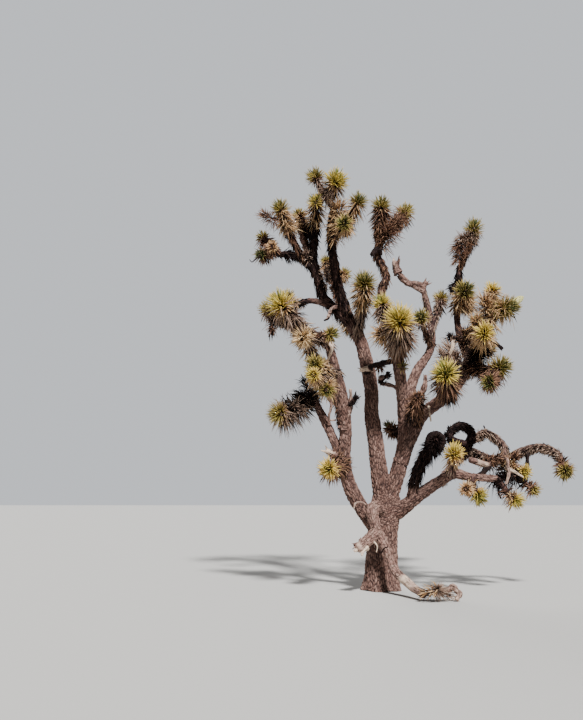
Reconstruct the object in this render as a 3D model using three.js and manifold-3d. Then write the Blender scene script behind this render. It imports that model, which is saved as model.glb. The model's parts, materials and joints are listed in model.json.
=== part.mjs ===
import * as THREE from 'three';
import { mergeVertices } from 'three/addons/utils/BufferGeometryUtils.js';
import Module from 'manifold-3d';

// A Joshua tree about 6.6 m tall, in millimetres, with +Z up, +X to the viewer's right and -Y toward
// the viewer. The origin is the middle of the flat cut under the trunk, at ground level.

const wasm = await Module();
wasm.setup();

// Clearance between neighbouring pieces, and the least height of anything but the trunk.
const CLEARANCE = 0.33;
const LEAST_HEIGHT = 8;

// The trunk: its flare at the ground, its five root ridges and its shoulder under the fork.
const TRUNK_SIDES = 15;
const TRUNK_STEPS = 9;
const TRUNK_SHOULDER = 0.94;
const FLARE = 0.28;
const FLARE_SHARE = 0.14;
const RIDGES = 5;
const RIDGE_DEPTH = 0.07;
const SUNK_FOOT = -120;

// Boughs: rings along them, the swollen collar where one leaves another, and the blunt tip.
const BOUGH_SIDES = 8;
const RING_SPACING = 440;
const COLLAR = 0.22;
const COLLAR_SHARE = 0.1;
const BLUNT_TIP = 0.55;
const BLUNT_LENGTH = 0.6;
const FRAMES = 60;

// Foliage: a head is a burst of dagger leaves round a small core. Sizes are shares of its radius.
// A leaf stands on each face of the core, and the ones behind it lean back toward the stem.
const LARGE_HEAD = 200;
const CORE = 0.36;
const LEAF_SHORTEST = 0.8;
const LEAN_BACK = 0.45;
const STEM_SIDE = -0.75;
const LEAF_MARGIN = 2;
const BALL_SPACING = 60;

// Stems: skirts of dead leaves hang on them like thatch, each widest at its ragged lower edge.
const STEM_SIDES = 6;
const STEM_AT_HEAD = 0.54;
const STEM_AT_BOUGH = 0.95;
const STEM_SAG = 0.16;
const SKIRT_LENGTH = 430;
const SKIRT_SPAN = 0.8;
const SKIRT_FLARE = 1.3;
const SKIRT_WAIST = 0.82;
const SKIRT_RAG = 0.18;
const STEM_END = 0.3;
const TWIG_LEAVES_STEM_AT = 0.4;

// The flower bud at the tip of the right crown's outer head.
const BUD = { mass: 'right_crown_heads', foot: [1980, -380, 4260], tip: [2200, -390, 4400], radius: 52 };

const GREY_BARK = { color: 0x6e5a50, roughness: 0.95 };
const DEAD_WOOD = { color: 0x8a7663, roughness: 0.95 };
const SHAGGY_BARK = { color: 0x4a3a2e, roughness: 1 };
const YELLOW_GREEN = { color: 0x9a9a3c, roughness: 0.7 };
const OLIVE_GREEN = { color: 0x6b6f2c, roughness: 0.7 };
const DRY_LEAF = { color: 0x9c8257, roughness: 0.95 };

// Each limb leaves another one at a share of its length and runs through a few places to its tip.
// Its girth is its radius at the foot and at the tip.
const LIMBS = [
  { name: 'trunk', girth: [238, 225], finish: GREY_BARK,
    course: [[10, 0, 440], [30, 0, 880], [90, 0, 1330]] },
  { name: 'left_bough', from: 'trunk', at: 0.62, girth: [125, 68], finish: GREY_BARK,
    course: [[-370, -80, 1330], [-550, -150, 1820], [-540, -270, 2380], [-600, -400, 2890],
      [-810, -600, 3680]] },
  { name: 'left_low_bough', from: 'left_bough', at: 0.38, girth: [75, 60], finish: GREY_BARK,
    course: [[-730, -150, 2280], [-890, 0, 2630], [-1050, 150, 2980]] },
  { name: 'back_left_bough', from: 'left_bough', at: 0.5, girth: [64, 50], finish: SHAGGY_BARK,
    course: [[-620, 300, 2850], [-780, 950, 3400]] },
  { name: 'middle_bough', from: 'trunk', at: 0.85, girth: [135, 95], finish: GREY_BARK,
    course: [[-20, 0, 1850], [-110, 80, 2640], [-110, 150, 3080], [-250, 220, 3800], [-530, 300, 4370]] },
  { name: 'upper_left_bough', from: 'middle_bough', at: 0.93, girth: [82, 75], finish: SHAGGY_BARK,
    course: [[-820, 380, 4550], [-910, 450, 4890], [-1050, 520, 5280]] },
  { name: 'left_arm', from: 'upper_left_bough', at: 0.9, girth: [60, 45], finish: SHAGGY_BARK,
    course: [[-1270, 450, 5310], [-1520, 380, 5310]] },
  { name: 'short_arm', from: 'upper_left_bough', at: 0.3, girth: [52, 42], finish: SHAGGY_BARK,
    course: [[-1030, 220, 4490], [-1290, 0, 4390]] },
  { name: 'top_bough', from: 'middle_bough', at: 0.94, girth: [75, 60], finish: SHAGGY_BARK,
    course: [[-600, 150, 4680], [-680, 80, 5090], [-730, 0, 5520], [-680, 0, 5970]] },
  { name: 'back_bough', from: 'middle_bough', at: 0.8, girth: [68, 52], finish: SHAGGY_BARK,
    course: [[-460, 900, 4450], [-590, 1270, 5000]] },
  { name: 'centre_bough', from: 'trunk', at: 0.9, girth: [122, 82], finish: GREY_BARK,
    course: [[280, -80, 1820], [370, -150, 2390], [320, -300, 2870], [230, -520, 3570]] },
  { name: 'tall_bough', from: 'centre_bough', at: 0.93, girth: [60, 52], finish: SHAGGY_BARK,
    course: [[170, 0, 4100], [90, 300, 4640], [190, 450, 4970], [60, 520, 5320]] },
  { name: 'inner_right_bough', from: 'centre_bough', at: 0.62, girth: [90, 46], finish: SHAGGY_BARK,
    course: [[570, 0, 3270], [860, 300, 3700], [910, 450, 4140], [820, 600, 4790]] },
  { name: 'dead_bough', from: 'inner_right_bough', at: 0.97, girth: [45, 42], finish: DEAD_WOOD,
    course: [[570, 600, 4890], [380, 520, 5080], [340, 520, 5210]] },
  { name: 'right_bough', from: 'centre_bough', at: 0.3, girth: [105, 75], finish: GREY_BARK,
    course: [[590, -220, 2550], [880, -380, 2810], [1210, -300, 3140], [1430, -150, 3600]] },
  { name: 'mast_bough', from: 'right_bough', at: 0.93, girth: [58, 42], finish: SHAGGY_BARK,
    course: [[1300, 0, 3810], [1280, 150, 4240], [1350, 220, 5030]] },
  { name: 'outer_right_bough', from: 'right_bough', at: 0.97, girth: [68, 52], finish: SHAGGY_BARK,
    course: [[1580, -220, 3840], [1710, -300, 4100]] },
  { name: 'low_outer_bough', from: 'right_bough', at: 0.85, girth: [64, 52], finish: SHAGGY_BARK,
    course: [[1450, -450, 3310], [1600, -520, 3250]] },
  { name: 'back_right_bough', from: 'right_bough', at: 0.75, girth: [68, 52], finish: SHAGGY_BARK,
    course: [[1560, 750, 3570], [1790, 1350, 3960]] },
  { name: 'low_right_bough', from: 'trunk', at: 0.78, girth: [120, 50], finish: GREY_BARK,
    course: [[320, -120, 1220], [710, -380, 1530], [1020, -520, 1720], [1240, -520, 1680],
      [1700, -380, 1650]] },
  { name: 'shaggy_bough', from: 'low_right_bough', at: 0.25, girth: [75, 75], finish: SHAGGY_BARK,
    course: [[480, -330, 1630], [550, -450, 1870], [680, -600, 2080]] },
  { name: 'tangle_bough', from: 'low_right_bough', at: 0.55, girth: [58, 58], finish: SHAGGY_BARK,
    course: [[1300, -80, 2060], [1700, 150, 1980], [1990, 150, 1930]] },
  { name: 'arch_bough', from: 'tangle_bough', at: 0.97, girth: [58, 50], finish: SHAGGY_BARK,
    course: [[1990, 300, 2140], [1900, 450, 2300], [1730, 520, 2400], [1580, 600, 2260]] },
  { name: 'curl_bough', from: 'tangle_bough', at: 0.4, girth: [66, 45], finish: SHAGGY_BARK,
    course: [[1410, 0, 2290], [1360, -60, 2430], [1210, -120, 2470], [1050, -200, 2360], [1070, -300, 2230],
      [1240, -380, 2180]] },
  { name: 'far_right_bough', from: 'tangle_bough', at: 0.97, girth: [60, 50], finish: SHAGGY_BARK,
    course: [[2210, 80, 2080], [2480, 0, 2140], [2670, -80, 2060], [2750, -150, 1920]] },
  { name: 'broken_bough', from: 'tangle_bough', at: 0.9, girth: [50, 44], finish: DEAD_WOOD,
    course: [[1620, -180, 1860], [1310, -380, 1930]] },
  { name: 'fallen_bough', from: 'trunk', at: 0.86, girth: [104, 46], finish: DEAD_WOOD,
    course: [[-150, -330, 1220], [-130, -420, 990], [20, -500, 620], [120, -650, 350], [270, -900, 200],
      [430, -1300, 80]] },
  { name: 'fallen_stub', from: 'fallen_bough', at: 0.36, girth: [88, 76], finish: DEAD_WOOD,
    course: [[-390, -620, 660]] },
];

// Each mass stands on a bough at a share of its length. A head is its middle and its radius.
const MASSES = [
  { name: 'top_heads', bough: 'top_bough', at: 1, heads: [[-980, -80, 6460, 165], [-660, -300, 6310, 210]] },
  { name: 'top_right_heads', bough: 'top_bough', at: 0.72,
    heads: [[-310, -380, 5950, 158], [-560, -680, 5490, 142]] },
  { name: 'upper_left_heads', bough: 'upper_left_bough', at: 0.92,
    heads: [[-960, 150, 6130, 150], [-1230, 750, 6090, 135]] },
  { name: 'outer_left_head', bough: 'left_arm', at: 0.3, heads: [[-1550, 220, 6040, 165]] },
  { name: 'left_tip_heads', bough: 'left_arm', at: 1,
    heads: [[-1840, 520, 5640, 120], [-1850, 150, 5230, 120], [-1670, 0, 5320, 105]] },
  { name: 'back_left_heads', bough: 'back_left_bough', at: 1,
    heads: [[-1110, 1300, 4040, 165], [-800, 1450, 3610, 150], [-870, 1250, 3250, 140]] },
  { name: 'back_heads', bough: 'back_bough', at: 1,
    heads: [[-750, 1500, 5490, 120], [-420, 1650, 5290, 135], [-300, 1580, 4280, 150]] },
  { name: 'middle_side_head', bough: 'middle_bough', at: 0.86, heads: [[-240, -380, 4650, 195]] },
  { name: 'big_left_heads', bough: 'left_bough', at: 1,
    heads: [[-1530, -980, 4180, 225], [-1740, -750, 4150, 135], [-1190, -900, 3690, 188],
      [-790, -1050, 3720, 135]] },
  { name: 'short_arm_head', bough: 'short_arm', at: 1, heads: [[-1420, 0, 4500, 135]] },
  { name: 'left_cluster_heads', bough: 'left_bough', at: 0.85,
    heads: [[-1020, -980, 3280, 158], [-1050, -1350, 3080, 120], [-860, -1120, 2900, 135]] },
  { name: 'low_left_head', bough: 'left_low_bough', at: 1, heads: [[-1550, -150, 2640, 195]] },
  { name: 'foot_left_head', bough: 'left_bough', at: 0.42, heads: [[-820, -750, 1790, 165]] },
  { name: 'tall_heads', bough: 'tall_bough', at: 1, heads: [[130, 450, 6150, 180], [580, 750, 6160, 165]] },
  { name: 'centre_heads', bough: 'centre_bough', at: 1,
    heads: [[190, -1200, 3900, 240], [-10, -750, 4230, 165]] },
  { name: 'inner_right_heads', bough: 'inner_right_bough', at: 0.58,
    heads: [[620, -380, 4090, 150], [1100, 520, 4590, 142]] },
  { name: 'mast_top_head', bough: 'mast_bough', at: 1, heads: [[1600, 150, 5700, 165]] },
  { name: 'mast_side_heads', bough: 'mast_bough', at: 0.62,
    heads: [[1340, -220, 4550, 180], [1640, 1000, 4680, 150]] },
  { name: 'right_crown_heads', bough: 'outer_right_bough', at: 1,
    heads: [[1780, -150, 4570, 150], [1980, -380, 4260, 195]] },
  { name: 'right_front_head', bough: 'outer_right_bough', at: 0.45, heads: [[1460, -900, 3760, 180]] },
  { name: 'facing_head', bough: 'right_bough', at: 0.62, heads: [[840, -1120, 3130, 210]] },
  { name: 'low_outer_heads', bough: 'low_outer_bough', at: 1,
    heads: [[1750, -680, 3290, 180], [1490, -980, 3030, 150]] },
  { name: 'back_right_heads', bough: 'back_right_bough', at: 1,
    heads: [[1980, 1800, 4450, 165], [1780, 1950, 4200, 165], [2190, 2020, 4020, 165],
      [1800, 1650, 3720, 150]] },
  { name: 'fork_dead_head', bough: 'right_bough', at: 0.3, heads: [[490, -680, 2840, 135]] },
  { name: 'inner_hanging_head', bough: 'centre_bough', at: 0.5, heads: [[190, 220, 2450, 135]] },
  { name: 'saddle_head', bough: 'low_right_bough', at: 0.62, heads: [[970, -900, 2010, 165]] },
  { name: 'shaggy_droop', bough: 'shaggy_bough', at: 1, heads: [[730, -820, 2200, 150]] },
  { name: 'under_heads', bough: 'low_right_bough', at: 0.8,
    heads: [[1130, -900, 1500, 120], [1340, -750, 1400, 150]] },
  { name: 'low_right_head', bough: 'low_right_bough', at: 1, heads: [[1930, -520, 1340, 150]] },
  { name: 'right_side_heads', bough: 'tangle_bough', at: 0.99,
    heads: [[2150, -220, 1750, 128], [2260, -300, 1490, 120]] },
  { name: 'far_right_head', bough: 'far_right_bough', at: 1, heads: [[2740, -300, 1770, 150]] },
  { name: 'fallen_head', bough: 'fallen_bough', at: 1, heads: [[630, -1380, 165, 138]] },
];

const DRY_MASSES = ['fork_dead_head', 'shaggy_droop', 'fallen_head'];
const YELLOW_MASSES = [
  'saddle_head', 'centre_heads', 'facing_head', 'top_heads', 'foot_left_head', 'big_left_heads',
  'right_crown_heads',
];

function vector(place) {
  return new THREE.Vector3(place[0], place[1], place[2]);
}

// A seeded row of numbers from 0 to 1, the same at each run.
function numbersFrom(seed) {
  let state = seed;
  return () => {
    state = (state + 0x6d2b79f5) | 0;
    let mixed = Math.imul(state ^ (state >>> 15), 1 | state);
    mixed = (mixed + Math.imul(mixed ^ (mixed >>> 7), 61 | mixed)) ^ mixed;
    return ((mixed ^ (mixed >>> 14)) >>> 0) / 4294967296;
  };
}

function toSolid(geometry) {
  geometry.deleteAttribute('normal');
  geometry.deleteAttribute('uv');
  const merged = mergeVertices(geometry, 1e-3);
  return new wasm.Manifold(new wasm.Mesh({
    numProp: 3,
    vertProperties: Float32Array.from(merged.attributes.position.array),
    triVerts: Uint32Array.from(merged.index.array),
  }));
}

function toGeometry(solid) {
  const mesh = solid.getMesh();
  const geometry = new THREE.BufferGeometry();
  geometry.setAttribute('position', new THREE.BufferAttribute(mesh.vertProperties, 3));
  geometry.setIndex(new THREE.BufferAttribute(mesh.triVerts, 1));
  return geometry;
}

// A cut can leave a loose scrap beside the body: only the body is kept.
function largestBody(solid) {
  return solid.decompose().sort((a, b) => b.volume() - a.volume())[0];
}

// A closed tube round a curve. Its rings lie at the given shares of the curve, the grown one is
// wider and longer by the clearance, and the radius may change along it and round it.
function tube(curve, rings, sides, radius, grown) {
  const extra = grown ? CLEARANCE : 0;
  const frames = curve.computeFrenetFrames(FRAMES);
  const geometry = new THREE.CylinderGeometry(1, 1, 1, sides, rings.length - 1);
  const { position } = geometry.attributes;
  for (let i = 0; i < position.count; i += 1) {
    const ring = Math.round((position.getY(i) + 0.5) * (rings.length - 1));
    const share = rings[ring];
    const frame = Math.round(share * FRAMES);
    const around = Math.atan2(position.getX(i), position.getZ(i));
    const onAxis = Math.hypot(position.getX(i), position.getZ(i)) < 0.5;
    const reach = onAxis ? 0 : radius(share, around) + extra;
    const overrun = (ring === 0 ? -extra : 0) + (ring === rings.length - 1 ? extra : 0);
    const place = curve.getPointAt(share)
      .addScaledVector(frames.binormals[frame], reach * Math.sin(around))
      .addScaledVector(frames.normals[frame], reach * Math.cos(around))
      .addScaledVector(frames.tangents[frame], overrun);
    position.setXYZ(i, place.x, place.y, place.z);
  }
  return toSolid(geometry);
}

// Ring shares from the foot to the tip, with one more ring where a blunt tip begins.
function ringShares(length, tipRadius) {
  const shoulder = 1 - (BLUNT_LENGTH * tipRadius) / length;
  const steps = Math.max(2, Math.ceil(length / RING_SPACING));
  return [...Array.from({ length: steps + 1 }, (unused, i) => (shoulder * i) / steps), 1];
}

function traceLimb(limb, traced) {
  const foot = limb.from ? traced.get(limb.from).curve.getPointAt(limb.at) : vector([0, 0, SUNK_FOOT]);
  const curve = new THREE.CatmullRomCurve3([foot, ...limb.course.map(vector)], false, 'catmullrom', 0.5);
  const [footRadius, tipRadius] = limb.girth;
  const radiusAt = (share) => {
    const [swelling, fade] = limb.from ? [COLLAR, COLLAR_SHARE] : [FLARE, FLARE_SHARE];
    return THREE.MathUtils.lerp(footRadius, tipRadius, share) * (1 + swelling * Math.exp(-share / fade));
  };
  return { ...limb, curve, radiusAt };
}

function limbSolid(limb, grown) {
  const rings = limb.from
    ? ringShares(limb.curve.getLength(), limb.girth[1])
    : [...Array.from({ length: TRUNK_STEPS }, (unused, i) => (TRUNK_SHOULDER * i) / (TRUNK_STEPS - 1)), 1];
  const radius = (share, around) => {
    const blunt = share === 1 ? BLUNT_TIP : 1;
    const ridge = limb.from ? 0 : RIDGE_DEPTH * Math.exp(-share / FLARE_SHARE) * Math.cos(RIDGES * around);
    return limb.radiusAt(share) * blunt * (1 + ridge);
  };
  return tube(limb.curve, rings, limb.from ? BOUGH_SIDES : TRUNK_SIDES, radius, grown);
}

const traced = new Map();
for (const limb of LIMBS) traced.set(limb.name, traceLimb(limb, traced));

// The mass's stem runs from its bough to its first head, and a twig to each other head leaves it.
function traceMass(mass) {
  const bough = traced.get(mass.bough);
  const foot = bough.curve.getPointAt(mass.at);
  const stems = [];
  for (const [x, y, z, reach] of mass.heads) {
    const middle = vector([x, y, z]);
    const start = stems.length === 0 ? foot : stems[0].curve.getPointAt(TWIG_LEAVES_STEM_AT);
    const sag = start.distanceTo(middle) * STEM_SAG;
    const bend = start.clone().lerp(middle, 0.5).add(vector([0, 0, -sag]));
    const curve = new THREE.QuadraticBezierCurve3(start, bend, middle);
    const headRadius = reach * STEM_AT_HEAD;
    const footRadius = STEM_AT_BOUGH * (stems.length === 0 ? bough.radiusAt(mass.at) : headRadius);
    const radiusAt = (share) => THREE.MathUtils.lerp(footRadius, headRadius, share);
    stems.push({ curve, radiusAt, middle, reach, axis: curve.getTangentAt(1) });
  }
  return { ...mass, stems };
}

const masses = MASSES.map(traceMass);

// Balls along a curve, which stand for a limb or stem when a leaf looks for room.
function ballsAlong(owner, { curve, radiusAt }, widening) {
  const count = Math.ceil(curve.getLength() / BALL_SPACING);
  return Array.from({ length: count + 1 }, (unused, i) => (
    { owner, middle: curve.getPointAt(i / count), radius: radiusAt(i / count) * widening }
  ));
}

const balls = [
  ...[...traced.values()].flatMap((limb) => ballsAlong(limb.name, limb, 1)),
  ...masses.flatMap((mass) => mass.stems.flatMap((stem) => ballsAlong(mass.name, stem, SKIRT_FLARE))),
];

// How far a point lies on the far side of the plane that parts two heads' spaces.
function pastDivide(point, own, other) {
  const apart = own.middle.distanceTo(other.middle);
  const ownPower = point.distanceToSquared(own.middle) - own.reach ** 2;
  const otherPower = point.distanceToSquared(other.middle) - other.reach ** 2;
  return (ownPower - otherPower) / (2 * apart);
}

function middleOf(corners) {
  return corners[0].clone().add(corners[1]).add(corners[2]).divideScalar(3);
}

// A leaf has room where it stays above the ground and in its own space, clear of every limb.
function hasRoom(mass, stem, corners, tip) {
  if (tip.z < LEAST_HEIGHT) return false;
  for (const other of masses) {
    if (other === mass) continue;
    for (const rival of other.stems) {
      if (stem.middle.distanceTo(rival.middle) > 1.5 * (stem.reach + rival.reach)) continue;
      if ([...corners, tip].some((point) => pastDivide(point, stem, rival) > -LEAF_MARGIN)) return false;
    }
  }
  const foot = middleOf(corners);
  const halfWidth = corners[0].distanceTo(foot);
  return balls.every((ball) => ball.owner === mass.name || [0.4, 0.6, 0.8, 1].every((share) => {
    const room = ball.radius + halfWidth * (1 - share) + LEAF_MARGIN;
    return foot.clone().lerp(tip, share).distanceTo(ball.middle) > room;
  }));
}

// A closed burst of leaves: each face of the core is drawn out to a point, or left where a leaf
// would have no room and where the stem comes in.
function burst(mass, stem, random) {
  const { middle, reach, axis } = stem;
  const core = reach > LARGE_HEAD
    ? new THREE.IcosahedronGeometry(reach * CORE, 1)
    : new THREE.OctahedronGeometry(reach * CORE, 1);
  core.rotateY(random() * Math.PI);
  core.applyQuaternion(new THREE.Quaternion().setFromUnitVectors(vector([0, 1, 0]), axis));
  core.translate(middle.x, middle.y, middle.z);
  const { position } = core.attributes;
  const points = [];
  for (let i = 0; i < position.count; i += 3) {
    const corners = [0, 1, 2].map((k) => new THREE.Vector3().fromBufferAttribute(position, i + k));
    const heading = middleOf(corners).sub(middle).normalize();
    const forward = heading.dot(axis);
    heading.addScaledVector(axis, Math.min(0, forward) * LEAN_BACK).normalize();
    const length = reach * THREE.MathUtils.lerp(LEAF_SHORTEST, 1, random());
    const tip = middle.clone().addScaledVector(heading, length);
    if (forward < STEM_SIDE || !hasRoom(mass, stem, corners, tip)) {
      points.push(...corners);
    } else {
      const [a, b, c] = corners;
      points.push(a, b, tip, b, c, tip, c, a, tip);
    }
  }
  return toSolid(new THREE.BufferGeometry().setFromPoints(points));
}

// An egg-shaped bud on a short stalk that starts in the head's core.
function flowerBud() {
  const foot = vector(BUD.foot);
  const tip = vector(BUD.tip);
  const axis = new THREE.LineCurve3(foot, tip);
  const profile = (share) => BUD.radius * Math.max(0.3, Math.sin(Math.PI * Math.max(0, 2.2 * share - 1.25)));
  return tube(axis, [0, 0.55, 0.7, 0.8, 0.92, 1], STEM_SIDES, profile, false);
}

// A thatched stem: each skirt's wide ragged edge is one ring, and its waist is the next.
function stemTube(stem, grown) {
  const skirts = Math.max(1, Math.round(stem.curve.getLength() / SKIRT_LENGTH));
  const ringAt = (unused, i) => (Math.ceil(i / 2) - (i % 2) * SKIRT_SPAN) / skirts;
  const rings = Array.from({ length: 2 * skirts + 1 }, ringAt);
  const radius = (share, around) => {
    const along = share * skirts;
    const wide = along - Math.floor(along) > 0.1;
    const waist = share === 1 ? STEM_END : SKIRT_WAIST;
    return stem.radiusAt(share) * (wide ? SKIRT_FLARE + SKIRT_RAG * Math.cos(3 * around) : waist);
  };
  return tube(stem.curve, rings, STEM_SIDES, radius, grown);
}

function massSolid(mass, seed) {
  const random = numbersFrom(seed);
  const pieces = mass.stems.flatMap((stem) => [stemTube(stem, false), burst(mass, stem, random)]);
  if (mass.name === BUD.mass) pieces.push(flowerBud());
  return wasm.Manifold.union(pieces);
}

function boxesMeet(a, b) {
  return [0, 1, 2].every((i) => a.min[i] < b.max[i] && b.min[i] < a.max[i]);
}

// Each solid is cut clear of the grown form of every earlier one that it would run into.
const obstacles = [];

function cutClear(solid) {
  const box = solid.boundingBox();
  const inWay = obstacles.filter((obstacle) => boxesMeet(box, obstacle.box));
  const cut = inWay.reduce((left, obstacle) => left.subtract(obstacle.solid), solid);
  return largestBody(cut);
}

function addObstacle(solid) {
  obstacles.push({ solid, box: solid.boundingBox() });
}

function aboveGround(solid) {
  const depth = -2 * SUNK_FOOT;
  const geometry = new THREE.BoxGeometry(2000, 2000, depth);
  geometry.translate(0, 0, -depth / 2);
  return solid.subtract(toSolid(geometry));
}

function finishOf(mass) {
  if (DRY_MASSES.includes(mass.name)) return DRY_LEAF;
  return YELLOW_MASSES.includes(mass.name) ? YELLOW_GREEN : OLIVE_GREEN;
}

function namedMesh(name, solid, finish) {
  const material = new THREE.MeshStandardMaterial({ ...finish, metalness: 0 });
  const mesh = new THREE.Mesh(toGeometry(solid), material);
  mesh.name = name;
  return mesh;
}

const tree = new THREE.Group();

for (const limb of traced.values()) {
  const whole = limbSolid(limb, false);
  const solid = limb.from ? cutClear(whole) : aboveGround(whole);
  addObstacle(limbSolid(limb, true));
  tree.add(namedMesh(limb.name, solid, limb.finish));
}

masses.forEach((mass, index) => {
  const solid = cutClear(massSolid(mass, index + 1));
  for (const stem of mass.stems) addObstacle(stemTube(stem, true));
  tree.add(namedMesh(mass.name, solid, finishOf(mass)));
});

export default tree;
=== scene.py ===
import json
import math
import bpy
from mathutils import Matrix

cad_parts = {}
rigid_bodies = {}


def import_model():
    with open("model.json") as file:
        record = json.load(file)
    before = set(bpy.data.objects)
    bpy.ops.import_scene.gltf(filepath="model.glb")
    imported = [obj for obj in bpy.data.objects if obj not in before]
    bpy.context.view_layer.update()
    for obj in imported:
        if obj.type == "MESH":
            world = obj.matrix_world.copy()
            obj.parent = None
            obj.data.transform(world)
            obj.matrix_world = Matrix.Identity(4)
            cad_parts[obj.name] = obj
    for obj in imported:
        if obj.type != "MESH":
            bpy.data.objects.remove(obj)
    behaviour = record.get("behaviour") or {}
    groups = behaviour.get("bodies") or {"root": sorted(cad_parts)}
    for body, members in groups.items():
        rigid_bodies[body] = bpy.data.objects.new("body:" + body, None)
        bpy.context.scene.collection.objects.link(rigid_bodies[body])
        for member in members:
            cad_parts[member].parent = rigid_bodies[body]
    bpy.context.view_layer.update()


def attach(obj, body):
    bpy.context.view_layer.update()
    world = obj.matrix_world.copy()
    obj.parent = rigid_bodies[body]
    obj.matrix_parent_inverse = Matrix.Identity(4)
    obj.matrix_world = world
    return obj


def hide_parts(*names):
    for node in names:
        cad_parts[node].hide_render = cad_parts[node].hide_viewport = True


bl_info = {
    "name": "Joshua tree",
    "version": (1, 0, 0),
    "blender": (4, 5, 0),
    "location": "View3D > Sidebar > Joshua tree",
    "description": "Dresses the packed frame of a Joshua tree with bark, thatch and leaves",
    "category": "Object",
}

from collections import namedtuple

import bmesh
import bpy
import numpy as np
from bpy.props import FloatProperty, FloatVectorProperty, IntProperty, PointerProperty
from mathutils import Matrix, Vector, kdtree

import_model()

BODY = "root"
# The most triangles that one piece of leaves holds.
MOST_TRIANGLES = 190_000


def rows(kind, table):
    """The table with each row's values named."""
    return {name: kind(*row) for name, row in table.items()}


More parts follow.
